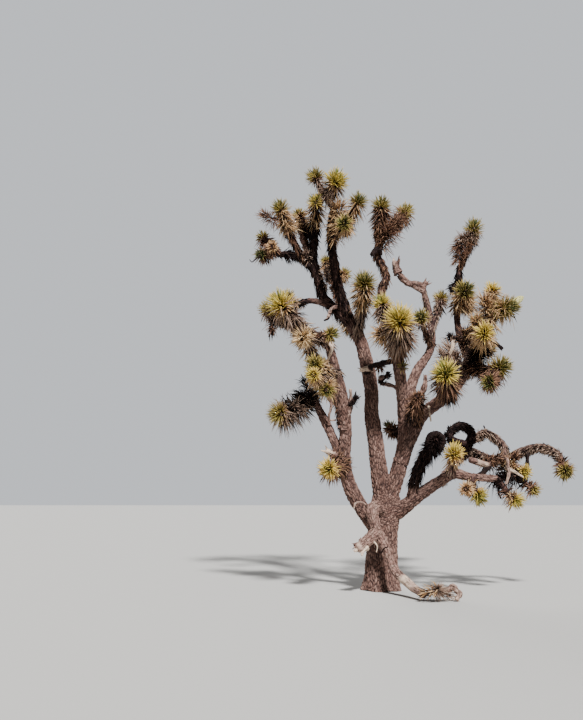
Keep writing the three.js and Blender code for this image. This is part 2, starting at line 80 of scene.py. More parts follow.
# The limbs, as in the part's source: the limb it leaves and where, its foot and tip radius, its
# finish and the points that it passes, in metres.
Limb = namedtuple("Limb", "parent at foot tip finish course")
GREY, SHAGGY, DEAD = "grey_bark", "shaggy_bark", "dead_wood"
LIMBS = rows(Limb, {
    "trunk": (None, 0, 0.238, 0.225, GREY, [(0.01, 0, 0.44), (0.03, 0, 0.88), (0.09, 0, 1.33)]),
    "left_bough": ("trunk", 0.62, 0.125, 0.068, GREY, [
        (-0.37, -0.08, 1.33), (-0.55, -0.15, 1.82), (-0.54, -0.27, 2.38), (-0.6, -0.4, 2.89),
        (-0.81, -0.6, 3.68)]),
    "left_low_bough": ("left_bough", 0.38, 0.075, 0.06, GREY, [
        (-0.73, -0.15, 2.28), (-0.89, 0, 2.63), (-1.05, 0.15, 2.98)]),
    "back_left_bough": ("left_bough", 0.5, 0.064, 0.05, SHAGGY, [
        (-0.62, 0.3, 2.85), (-0.78, 0.95, 3.4)]),
    "middle_bough": ("trunk", 0.85, 0.135, 0.095, GREY, [
        (-0.02, 0, 1.85), (-0.11, 0.08, 2.64), (-0.11, 0.15, 3.08), (-0.25, 0.22, 3.8),
        (-0.53, 0.3, 4.37)]),
    "upper_left_bough": ("middle_bough", 0.93, 0.082, 0.075, SHAGGY, [
        (-0.82, 0.38, 4.55), (-0.91, 0.45, 4.89), (-1.05, 0.52, 5.28)]),
    "left_arm": ("upper_left_bough", 0.9, 0.06, 0.045, SHAGGY, [
        (-1.27, 0.45, 5.31), (-1.52, 0.38, 5.31)]),
    "short_arm": ("upper_left_bough", 0.3, 0.052, 0.042, SHAGGY, [
        (-1.03, 0.22, 4.49), (-1.29, 0, 4.39)]),
    "top_bough": ("middle_bough", 0.94, 0.075, 0.06, SHAGGY, [
        (-0.6, 0.15, 4.68), (-0.68, 0.08, 5.09), (-0.73, 0, 5.52), (-0.68, 0, 5.97)]),
    "back_bough": ("middle_bough", 0.8, 0.068, 0.052, SHAGGY, [
        (-0.46, 0.9, 4.45), (-0.59, 1.27, 5.0)]),
    "centre_bough": ("trunk", 0.9, 0.122, 0.082, GREY, [
        (0.28, -0.08, 1.82), (0.37, -0.15, 2.39), (0.32, -0.3, 2.87), (0.23, -0.52, 3.57)]),
    "tall_bough": ("centre_bough", 0.93, 0.06, 0.052, SHAGGY, [
        (0.17, 0, 4.1), (0.09, 0.3, 4.64), (0.19, 0.45, 4.97), (0.06, 0.52, 5.32)]),
    "inner_right_bough": ("centre_bough", 0.62, 0.09, 0.046, SHAGGY, [
        (0.57, 0, 3.27), (0.86, 0.3, 3.7), (0.91, 0.45, 4.14), (0.82, 0.6, 4.79)]),
    "dead_bough": ("inner_right_bough", 0.97, 0.045, 0.042, DEAD, [
        (0.57, 0.6, 4.89), (0.38, 0.52, 5.08), (0.34, 0.52, 5.21)]),
    "right_bough": ("centre_bough", 0.3, 0.105, 0.075, GREY, [
        (0.59, -0.22, 2.55), (0.88, -0.38, 2.81), (1.21, -0.3, 3.14), (1.43, -0.15, 3.6)]),
    "mast_bough": ("right_bough", 0.93, 0.058, 0.042, SHAGGY, [
        (1.3, 0, 3.81), (1.28, 0.15, 4.24), (1.35, 0.22, 5.03)]),
    "outer_right_bough": ("right_bough", 0.97, 0.068, 0.052, SHAGGY, [
        (1.58, -0.22, 3.84), (1.71, -0.3, 4.1)]),
    "low_outer_bough": ("right_bough", 0.85, 0.064, 0.052, SHAGGY, [
        (1.45, -0.45, 3.31), (1.6, -0.52, 3.25)]),
    "back_right_bough": ("right_bough", 0.75, 0.068, 0.052, SHAGGY, [
        (1.56, 0.75, 3.57), (1.79, 1.35, 3.96)]),
    "low_right_bough": ("trunk", 0.78, 0.12, 0.05, GREY, [
        (0.32, -0.12, 1.22), (0.71, -0.38, 1.53), (1.02, -0.52, 1.72), (1.24, -0.52, 1.68),
        (1.7, -0.38, 1.65)]),
    "shaggy_bough": ("low_right_bough", 0.25, 0.075, 0.075, SHAGGY, [
        (0.48, -0.33, 1.63), (0.55, -0.45, 1.87), (0.68, -0.6, 2.08)]),
    "tangle_bough": ("low_right_bough", 0.55, 0.058, 0.058, SHAGGY, [
        (1.3, -0.08, 2.06), (1.7, 0.15, 1.98), (1.99, 0.15, 1.93)]),
    "arch_bough": ("tangle_bough", 0.97, 0.058, 0.05, SHAGGY, [
        (1.99, 0.3, 2.14), (1.9, 0.45, 2.3), (1.73, 0.52, 2.4), (1.58, 0.6, 2.26)]),
    "curl_bough": ("tangle_bough", 0.4, 0.066, 0.045, SHAGGY, [
        (1.41, 0, 2.29), (1.36, -0.06, 2.43), (1.21, -0.12, 2.47), (1.05, -0.2, 2.36),
        (1.07, -0.3, 2.23), (1.24, -0.38, 2.18)]),
    "far_right_bough": ("tangle_bough", 0.97, 0.06, 0.05, SHAGGY, [
        (2.21, 0.08, 2.08), (2.48, 0, 2.14), (2.67, -0.08, 2.06), (2.75, -0.15, 1.92)]),
    "broken_bough": ("tangle_bough", 0.9, 0.05, 0.044, DEAD, [
        (1.62, -0.18, 1.86), (1.31, -0.38, 1.93)]),
    "fallen_bough": ("trunk", 0.86, 0.104, 0.046, DEAD, [
        (-0.15, -0.33, 1.22), (-0.13, -0.42, 0.99), (0.02, -0.5, 0.62), (0.12, -0.65, 0.35),
        (0.27, -0.9, 0.2), (0.43, -1.3, 0.08)]),
    "fallen_stub": ("fallen_bough", 0.36, 0.088, 0.076, DEAD, [(-0.39, -0.62, 0.66)]),
})

# The masses of foliage, as in the part's source: the bough that carries it and where, its colour,
# and each head's middle and reach, in metres.
Mass = namedtuple("Mass", "bough at colour heads")
# Yellow leaves are for heads in full light and olive ones for heads in less light: besides the heads'
# own greens, the two hold painted light and painted shade.
YELLOW, OLIVE, DRY = "yellow_leaves", "olive_leaves", "dry_leaves"
MASSES = rows(Mass, {
    "top_heads": ("top_bough", 1, YELLOW, [(-0.98, -0.08, 6.46, 0.165), (-0.66, -0.3, 6.31, 0.21)]),
    "top_right_heads": ("top_bough", 0.72, OLIVE, [
        (-0.31, -0.38, 5.95, 0.158), (-0.56, -0.68, 5.49, 0.142)]),
    "upper_left_heads": ("upper_left_bough", 0.92, OLIVE, [
        (-0.96, 0.15, 6.13, 0.15), (-1.23, 0.75, 6.09, 0.135)]),
    "outer_left_head": ("left_arm", 0.3, OLIVE, [(-1.55, 0.22, 6.04, 0.165)]),
    "left_tip_heads": ("left_arm", 1, OLIVE, [
        (-1.84, 0.52, 5.64, 0.12), (-1.85, 0.15, 5.23, 0.12), (-1.67, 0, 5.32, 0.105)]),
    "back_left_heads": ("back_left_bough", 1, OLIVE, [
        (-1.11, 1.3, 4.04, 0.165), (-0.8, 1.45, 3.61, 0.15), (-0.87, 1.25, 3.25, 0.14)]),
    "back_heads": ("back_bough", 1, OLIVE, [
        (-0.75, 1.5, 5.49, 0.12), (-0.42, 1.65, 5.29, 0.135), (-0.3, 1.58, 4.28, 0.15)]),
    "middle_side_head": ("middle_bough", 0.86, OLIVE, [(-0.24, -0.38, 4.65, 0.195)]),
    "big_left_heads": ("left_bough", 1, YELLOW, [
        (-1.53, -0.98, 4.18, 0.225), (-1.74, -0.75, 4.15, 0.135), (-1.19, -0.9, 3.69, 0.188),
        (-0.79, -1.05, 3.72, 0.135)]),
    "short_arm_head": ("short_arm", 1, OLIVE, [(-1.42, 0, 4.5, 0.135)]),
    "left_cluster_heads": ("left_bough", 0.85, OLIVE, [
        (-1.02, -0.98, 3.28, 0.158), (-1.05, -1.35, 3.08, 0.12), (-0.86, -1.12, 2.9, 0.135)]),
    "low_left_head": ("left_low_bough", 1, OLIVE, [(-1.55, -0.15, 2.64, 0.195)]),
    "foot_left_head": ("left_bough", 0.42, YELLOW, [(-0.82, -0.75, 1.79, 0.165)]),
    "tall_heads": ("tall_bough", 1, OLIVE, [(0.13, 0.45, 6.15, 0.18), (0.58, 0.75, 6.16, 0.165)]),
    "centre_heads": ("centre_bough", 1, YELLOW, [
        (0.19, -1.2, 3.9, 0.24), (-0.01, -0.75, 4.23, 0.165)]),
    "inner_right_heads": ("inner_right_bough", 0.58, OLIVE, [
        (0.62, -0.38, 4.09, 0.15), (1.1, 0.52, 4.59, 0.142)]),
    "mast_top_head": ("mast_bough", 1, OLIVE, [(1.6, 0.15, 5.7, 0.165)]),
    "mast_side_heads": ("mast_bough", 0.62, OLIVE, [
        (1.34, -0.22, 4.55, 0.18), (1.64, 1.0, 4.68, 0.15)]),
    "right_crown_heads": ("outer_right_bough", 1, YELLOW, [
        (1.78, -0.15, 4.57, 0.15), (1.98, -0.38, 4.26, 0.195)]),
    "right_front_head": ("outer_right_bough", 0.45, OLIVE, [(1.46, -0.9, 3.76, 0.18)]),
    "facing_head": ("right_bough", 0.62, YELLOW, [(0.84, -1.12, 3.13, 0.21)]),
    "low_outer_heads": ("low_outer_bough", 1, OLIVE, [
        (1.75, -0.68, 3.29, 0.18), (1.49, -0.98, 3.03, 0.15)]),
    "back_right_heads": ("back_right_bough", 1, OLIVE, [
        (1.98, 1.8, 4.45, 0.165), (1.78, 1.95, 4.2, 0.165), (2.19, 2.02, 4.02, 0.165),
        (1.8, 1.65, 3.72, 0.15)]),
    "fork_dead_head": ("right_bough", 0.3, DRY, [(0.49, -0.68, 2.84, 0.135)]),
    "inner_hanging_head": ("centre_bough", 0.5, OLIVE, [(0.19, 0.22, 2.45, 0.135)]),
    "saddle_head": ("low_right_bough", 0.62, YELLOW, [(0.97, -0.9, 2.01, 0.165)]),
    "shaggy_droop": ("shaggy_bough", 1, DRY, [(0.73, -0.82, 2.2, 0.15)]),
    "under_heads": ("low_right_bough", 0.8, OLIVE, [
        (1.13, -0.9, 1.5, 0.12), (1.34, -0.75, 1.4, 0.15)]),
    "low_right_head": ("low_right_bough", 1, OLIVE, [(1.93, -0.52, 1.34, 0.15)]),
    "right_side_heads": ("tangle_bough", 0.99, OLIVE, [
        (2.15, -0.22, 1.75, 0.128), (2.26, -0.3, 1.49, 0.12)]),
    "far_right_head": ("far_right_bough", 1, OLIVE, [(2.74, -0.3, 1.77, 0.15)]),
    "fallen_head": ("fallen_bough", 1, DRY, [(0.63, -1.38, 0.165, 0.138)]),
})

# How the source shapes a limb: the swelling at a bough's foot and at the trunk's, and the trunk's
# ridges. Each fades over a share of the length.
COLLAR, COLLAR_SHARE = 0.22, 0.1
FLARE, FLARE_SHARE = 0.28, 0.14
RIDGES, RIDGE_DEPTH, RIDGE_HEIGHT = 5, 0.07, 0.9
# How it shapes a stem: a mass's first one leaves the bough, the others leave that one.
STEM_SAG = 0.16
STEM_LEAVES_STEM_AT = 0.4
STEM_CORE = 0.042
STEM_SHARE, THICKEST_STEM = 0.8, 0.07

# Which limbs each piece of bark covers; the stems go with the bough that carries them.
BARK_PIECES = {
    "trunk_bark": ["trunk", "low_right_bough"],
    "left_bark": ["left_bough", "left_low_bough"],
    "middle_bark": ["middle_bough"],
    "centre_bark": ["centre_bough", "right_bough"],
    "shaggy_bark_left": [
        "back_left_bough", "upper_left_bough", "left_arm", "short_arm", "top_bough", "back_bough"],
    "shaggy_bark_right": [
        "tall_bough", "inner_right_bough", "mast_bough", "outer_right_bough", "low_outer_bough",
        "back_right_bough"],
    "shaggy_bark_low": [
        "shaggy_bough", "tangle_bough", "arch_bough", "curl_bough", "far_right_bough"],
    "dead_wood": ["dead_bough", "broken_bough", "fallen_bough", "fallen_stub"],
}
# The thatch of dead leaves on a shaggy bough: its kind, where it starts, the leaves' length, how
# far they stand off and how many there are.
THATCH = {
    "back_left_bough": ("brown", 0.2, 0.18, 0.4, 1.0),
    "upper_left_bough": ("dark", 0.05, 0.16, 0.5, 0.9),
    "left_arm": ("dark", 0.0, 0.17, 0.3, 1.4),
    "short_arm": ("dark", 0.75, 0.12, 0.4, 0.8),
    "top_bough": ("dark", 0.0, 0.17, 0.45, 0.9),
    "back_bough": ("brown", 0.2, 0.18, 0.4, 1.0),
    "tall_bough": ("brown", 0.6, 0.17, 0.4, 1.0),
    "inner_right_bough": ("tan", 0.86, 0.1, 0.5, 0.6),
    "mast_bough": ("dark", 0.82, 0.15, 0.35, 1.4),
    "outer_right_bough": ("straw", 0.25, 0.2, 0.2, 1.5),
    "low_outer_bough": ("brown", 0.1, 0.19, 0.3, 1.3),
    "back_right_bough": ("brown", 0.2, 0.18, 0.4, 1.0),
    "shaggy_bough": ("dark", 0.36, 0.2, 0.4, 1.3),
    "tangle_bough": ("tan", 0.0, 0.12, 0.5, 1.7),
    "arch_bough": ("tan", 0.0, 0.13, 0.4, 2.0),
    "curl_bough": ("dark", 0.0, 0.1, 0.6, 1.8),
    "far_right_bough": ("tan", 0.0, 0.13, 0.35, 2.1),
}
# The kinds of dead leaves on a mass's stems, near the head and far from it, how many and how far
# they spread; a head with its own entry goes by that.
StemThatch = namedtuple("StemThatch", "near far density spread")
STEM_THATCH = rows(StemThatch, {
    "fork_dead_head": ("brown", "brown", 1.3, 1.0), "shaggy_droop": ("dark", "dark", 2.0, 0.9),
    "facing_head": ("brown", "dark", 1.4, 1.1), "upper_left_heads": ("straw", "dark", 1.2, 1.2),
    "mast_top_head": ("tan", "brown", 1.5, 0.8), "left_tip_heads": ("brown", "dark", 1.3, 1.1),
    "inner_hanging_head": ("brown", "dark", 1.3, 0.8), "low_outer_heads": ("brown", "dark", 1.2, 1.0),
    "saddle_head": ("straw", "tan", 0.3, 0.75), "foot_left_head": ("brown", "brown", 1.6, 1.0),
    "top_heads": ("tan", "brown", 0.9, 0.9), "right_front_head": ("straw", "dark", 1.2, 1.0),
    "middle_side_head": ("straw", "tan", 1.5, 1.0),
    "low_right_head": ("brown", "dark", 0.6, 0.9), "right_side_heads": ("brown", "dark", 0.7, 0.9),
    "under_heads": ("straw", "brown", 0.7, 0.7), "far_right_head": ("brown", "brown", 1.0, 0.9),
    "tall_heads": ("brown", "brown", 1.9, 1.0), "centre_heads": ("tan", "brown", 1.9, 1.05),
    "left_cluster_heads": ("straw", "tan", 1.5, 1.0),
    "low_left_head": ("tan", "dark", 2.0, 1.25), "big_left_heads": ("tan", "tan", 1.4, 0.92),
    "inner_right_heads": ("tan", "tan", 0.9, 0.8),
    ("inner_right_heads", 0): ("tan", "brown", 0.35, 0.6), ("top_heads", 0): ("tan", "brown", 0.4, 0.6),
    ("top_heads", 1): ("tan", "brown", 1.2, 0.9), ("big_left_heads", 3): ("brown", "brown", 0.4, 0.6),
})
USUAL_THATCH = StemThatch("straw", "brown", 1.1, 1.1)
# A head's looks: how much of it is green, the kind of its dead leaves, how dry its green leaves
# are, how many reaches back along its stem they grow, and their colour where it isn't the mass's.
# A negative dryness darkens a head's green leaves towards their young colour: painted shade for heads
# that hang in shadow.
Look = namedtuple("Look", "green dead dry brush colour")
HEAD_LOOKS = rows(Look, {
    ("top_heads", 0): (0.85, "brown", 0.1, 0, OLIVE),
    # This head lies in the shadow of the top heads: its yellow colour and its dryness are painted
    # light.
    ("upper_left_heads", 0): (0.85, "straw", 0.25, 0, YELLOW),
    ("outer_left_head", 0): (0.8, "straw", 0.05, 0.2, OLIVE),
    ("left_tip_heads", 1): (0.55, "brown", -0.25, 0, OLIVE),
    ("left_tip_heads", 2): (0.9, "straw", 0.1, 0, "straw"),
    ("top_heads", 1): (0.84, "straw", 0.2, 0, YELLOW),
    ("big_left_heads", 0): (0.78, "straw", 0.25, 0.2, YELLOW),
    ("big_left_heads", 1): (0.7, "straw", 0.3, 0.2, OLIVE),
    ("big_left_heads", 2): (0.95, "straw", 1.2, 0, "straw"),
    ("big_left_heads", 3): (0.8, "straw", 0.1, 0, OLIVE),
    ("foot_left_head", 0): (0.95, "straw", 0.55, 0, YELLOW),
    ("left_cluster_heads", 0): (0.85, "straw", 0.25, 0, OLIVE),
    ("left_cluster_heads", 1): (0.85, "straw", 0.45, 0, YELLOW),
    ("left_cluster_heads", 2): (0.75, "brown", 0.2, 0, OLIVE),
    ("saddle_head", 0): (0.72, "straw", 0.6, 0.15, YELLOW),
    ("under_heads", 0): (0.92, "straw", 0.2, 0, "straw"),
    ("under_heads", 1): (0.85, "brown", 0.1, 0, YELLOW),
    ("low_right_head", 0): (0.5, "straw", 0.35, 0.4, YELLOW),
    ("right_side_heads", 0): (0.8, "straw", 0.5, 0, YELLOW),
    ("right_side_heads", 1): (0.45, "brown", 0.5, 0, OLIVE),
    ("far_right_head", 0): (0.7, "brown", 0.35, 0, OLIVE),
    ("inner_hanging_head", 0): (0.45, "brown", -0.2, 0.4, OLIVE),
    ("low_left_head", 0): (0.7, "straw", 0.45, 0.1, OLIVE),
    ("low_outer_heads", 0): (0.85, "brown", 0.1, 0.3, OLIVE),
    ("low_outer_heads", 1): (0.3, "brown", 0.0, 0.3, OLIVE),
    ("right_crown_heads", 0): (0.8, "straw", 0.35, 0, YELLOW),
    ("right_crown_heads", 1): (0.92, "straw", 0.1, 1.3, OLIVE),
    ("right_front_head", 0): (0.45, "straw", 0.55, 0.4, YELLOW),
    ("facing_head", 0): (0.78, "straw", 0.15, 0, YELLOW),
    ("centre_heads", 0): (0.72, "straw", 0.4, 0.1, YELLOW),
    ("tall_heads", 1): (0.85, "brown", 0.1, 0.8, OLIVE),
    ("mast_top_head", 0): (0.8, "tan", -0.1, 0.7, OLIVE),
    ("fork_dead_head", 0): (0, "brown", 0, 0, None),
    ("shaggy_droop", 0): (0, "dark", 0, 0.5, None),
    ("fallen_head", 0): (0, "tan", 0, 0.3, None),
    ("short_arm_head", 0): (0.8, "straw", 0.2, 0, OLIVE),
})
USUAL_LOOK = Look(0.84, "straw", 0.05, 0, None)

# Small dead snags and twigs: their tone at the tip, foot and tip radius, and points.
# A snag at DARK_TONE is black: partly its own dark old wood and partly painted shade for knobs and
# twigs that lie in shadow.
PALE_TONE, WORN_TONE, WOOD_TONE, BARK_TONE, DARK_TONE = 1.0, 0.9, 0.75, 0.5, -0.1
SNAGS = {
    "peeled_stick": (PALE_TONE, 0.036, 0.01, [
        (-0.79, -0.6, 3.68), (-0.77, -0.72, 3.61), (-0.77, -0.75, 3.52), (-0.82, -0.76, 3.38),
        (-0.8, -0.76, 3.28)]),
    "facing_stub": (PALE_TONE, 0.034, 0.025, [
        (1.12, -0.25, 3.42), (1.06, -0.3, 3.52), (1.1, -0.33, 3.62), (1.11, -0.34, 3.7)]),
    "hooked_stub": (WOOD_TONE, 0.036, 0.024, [
        (-0.62, 0.26, 4.4), (-0.7, 0.15, 4.36), (-0.75, 0.12, 4.28), (-0.77, 0.1, 4.21)]),
    "hooked_tip": (DARK_TONE, 0.022, 0.016, [
        (-0.76, 0.1, 4.24), (-0.78, 0.1, 4.18), (-0.84, 0.1, 4.15)]),
    "left_snag": (WOOD_TONE, 0.07, 0.016, [
        (-0.56, -0.3, 2.4), (-0.51, -0.35, 2.6), (-0.47, -0.41, 2.8), (-0.48, -0.46, 2.98)]),
    "left_knob": (DARK_TONE, 0.05, 0.035, [
        (-0.48, -0.4, 2.76), (-0.43, -0.43, 2.82), (-0.39, -0.46, 2.86)]),
    "thin_twig": (WOOD_TONE, 0.028, 0.016, [
        (-0.8, -0.4, 2.87), (-0.76, -0.35, 2.74), (-0.79, -0.3, 2.62), (-0.77, -0.25, 2.54),
        (-0.69, -0.2, 2.54)]),
    "tall_knob": (DARK_TONE, 0.07, 0.04, [
        (0.12, 0.45, 5.38), (0.03, 0.42, 5.38), (-0.03, 0.38, 5.3)]),
    "arm_tip": (BARK_TONE, 0.075, 0.06, [(0.41, 0.53, 5.02), (0.36, 0.53, 5.1), (0.34, 0.52, 5.19)]),
    "arm_sleeve": (BARK_TONE, 0.054, 0.058, [
        (0.84, 0.6, 4.76), (0.72, 0.6, 4.84), (0.57, 0.6, 4.88), (0.44, 0.55, 4.99)]),
    "arm_splinter": (PALE_TONE, 0.03, 0.012, [
        (0.35, 0.52, 5.14), (0.32, 0.51, 5.21), (0.33, 0.51, 5.27)]),
    "arm_knob": (BARK_TONE, 0.06, 0.045, [(0.8, 0.6, 4.74), (0.84, 0.6, 4.82), (0.86, 0.6, 4.86)]),
    "cross_arm": (DARK_TONE, 0.046, 0.04, [
        (-0.2, 0.1, 3.32), (-0.11, -0.1, 3.37), (-0.01, -0.3, 3.4), (0.16, -0.45, 3.41)]),
    "cross_arm_end": (PALE_TONE, 0.05, 0.03, [
        (-0.12, -0.03, 3.37), (-0.2, -0.05, 3.35), (-0.28, -0.05, 3.32)]),
    "twisted_stub": (BARK_TONE, 0.028, 0.03, [
        (0.27, -0.32, 3.01), (0.13, -0.38, 3.05), (0.01, -0.4, 3.08), (-0.01, -0.42, 3.14)]),
    "twisted_knob": (DARK_TONE, 0.035, 0.03, [
        (-0.02, -0.42, 3.08), (-0.01, -0.42, 3.16), (0.06, -0.42, 3.17), (0.1, -0.4, 3.24)]),
    "fork_snag": (BARK_TONE, 0.05, 0.03, [
        (0.58, -0.42, 2.9), (0.63, -0.5, 3.03), (0.66, -0.48, 3.18)]),
    "under_stick": (PALE_TONE, 0.018, 0.008, [
        (0.7, -0.42, 2.72), (0.7, -0.52, 2.61), (0.71, -0.52, 2.5)]),
    "right_stub": (DARK_TONE, 0.032, 0.028, [
        (1.52, -0.45, 3.7), (1.68, -0.5, 3.68), (1.75, -0.52, 3.65), (1.8, -0.55, 3.59)]),
    "mast_knob": (DARK_TONE, 0.05, 0.035, [
        (1.28, 0.02, 3.86), (1.18, -0.02, 3.82), (1.12, -0.06, 3.85)]),
    "tangle_loop": (DARK_TONE, 0.045, 0.04, [
        (1.66, 0.0, 1.96), (1.6, -0.2, 1.82), (1.5, -0.34, 1.74), (1.4, -0.42, 1.7)]),
    "drooping_stem": (WOOD_TONE, 0.027, 0.02, [
        (1.88, -0.05, 1.96), (1.88, -0.3, 1.94), (1.86, -0.4, 1.85), (1.86, -0.43, 1.72),
        (1.82, -0.43, 1.58)]),
    "hanging_twig": (DARK_TONE, 0.03, 0.012, [
        (1.7, -0.36, 1.66), (1.73, -0.36, 1.56), (1.71, -0.38, 1.46), (1.74, -0.38, 1.36)]),
    "hanging_stem": (DARK_TONE, 0.036, 0.028, [
        (2.27, 0.05, 2.1), (2.27, 0, 2.0), (2.26, 0, 1.9), (2.25, 0, 1.77)]),
    "pale_tip": (PALE_TONE, 0.034, 0.012, [
        (1.86, -0.28, 1.82), (1.95, -0.36, 1.76), (2.09, -0.38, 1.68)]),
    "arch_twig": (DARK_TONE, 0.012, 0.008, [(1.76, 0.52, 2.36), (1.76, 0.52, 2.42), (1.73, 0.5, 2.5)]),
    "upper_left_stem": (BARK_TONE, 0.06, 0.05, [
        (-1.08, 0.5, 5.24), (-1.12, 0.56, 5.5), (-1.18, 0.62, 5.72), (-1.22, 0.68, 5.92)]),
    "left_tip_twig": (DARK_TONE, 0.014, 0.008, [
        (-1.86, 0.1, 5.2), (-1.93, 0.06, 5.14), (-1.99, 0.02, 5.08), (-2.03, 0, 5.11)]),
    "upper_left_knob": (DARK_TONE, 0.045, 0.03, [
        (-1.0, 0.46, 5.09), (-1.06, 0.43, 5.13), (-1.12, 0.42, 5.12)]),
    "droop_hook": (DARK_TONE, 0.047, 0.036, [
        (0.65, -0.6, 2.04), (0.65, -0.68, 2.19), (0.7, -0.72, 2.29), (0.79, -0.76, 2.28),
        (0.84, -0.8, 2.16), (0.78, -0.8, 2.05)]),
    "foot_left_stub": (BARK_TONE, 0.07, 0.05, [
        (-0.56, -0.18, 1.86), (-0.64, -0.3, 1.94), (-0.73, -0.42, 2.0)]),
    "foot_left_end": (PALE_TONE, 0.06, 0.035, [
        (-0.72, -0.42, 2.0), (-0.79, -0.48, 2.04), (-0.84, -0.52, 2.06)]),
    "bark_strip": (PALE_TONE, 0.0095, 0.008, [
        (-0.22, -0.46, 0.74), (-0.2, -0.54, 0.75), (-0.15, -0.57, 0.73), (-0.12, -0.58, 0.67),
        (-0.13, -0.57, 0.6)]),
    "foot_knot": (DARK_TONE, 0.012, 0.008, [
        (-0.05, -0.5, 0.58), (-0.02, -0.57, 0.65), (0.04, -0.57, 0.67)]),
    "broken_loop": (WORN_TONE, 0.017, 0.012, [
        (-0.24, -0.3, 1.2), (-0.27, -0.38, 1.27), (-0.35, -0.4, 1.31), (-0.42, -0.4, 1.29),
        (-0.44, -0.4, 1.22)]),
    "stub_splinter": (PALE_TONE, 0.06, 0.02, [
        (-0.34, -0.58, 0.7), (-0.39, -0.62, 0.66), (-0.44, -0.66, 0.62)]),
    "stub_splinter_low": (PALE_TONE, 0.05, 0.016, [
        (-0.3, -0.58, 0.66), (-0.34, -0.64, 0.61), (-0.35, -0.67, 0.56)]),
    "stub_splinter_high": (BARK_TONE, 0.05, 0.03, [
        (-0.33, -0.56, 0.74), (-0.39, -0.6, 0.72), (-0.44, -0.63, 0.7)]),
    "curved_stick": (WOOD_TONE, 0.04, 0.03, [
        (0.72, -1.3, 0.13), (0.82, -1.31, 0.18), (0.88, -1.33, 0.16), (0.9, -1.35, 0.1),
        (0.87, -1.35, 0.05)]),
}
# A stub this thick at its tip is broken off there.
BLUNT = 0.02
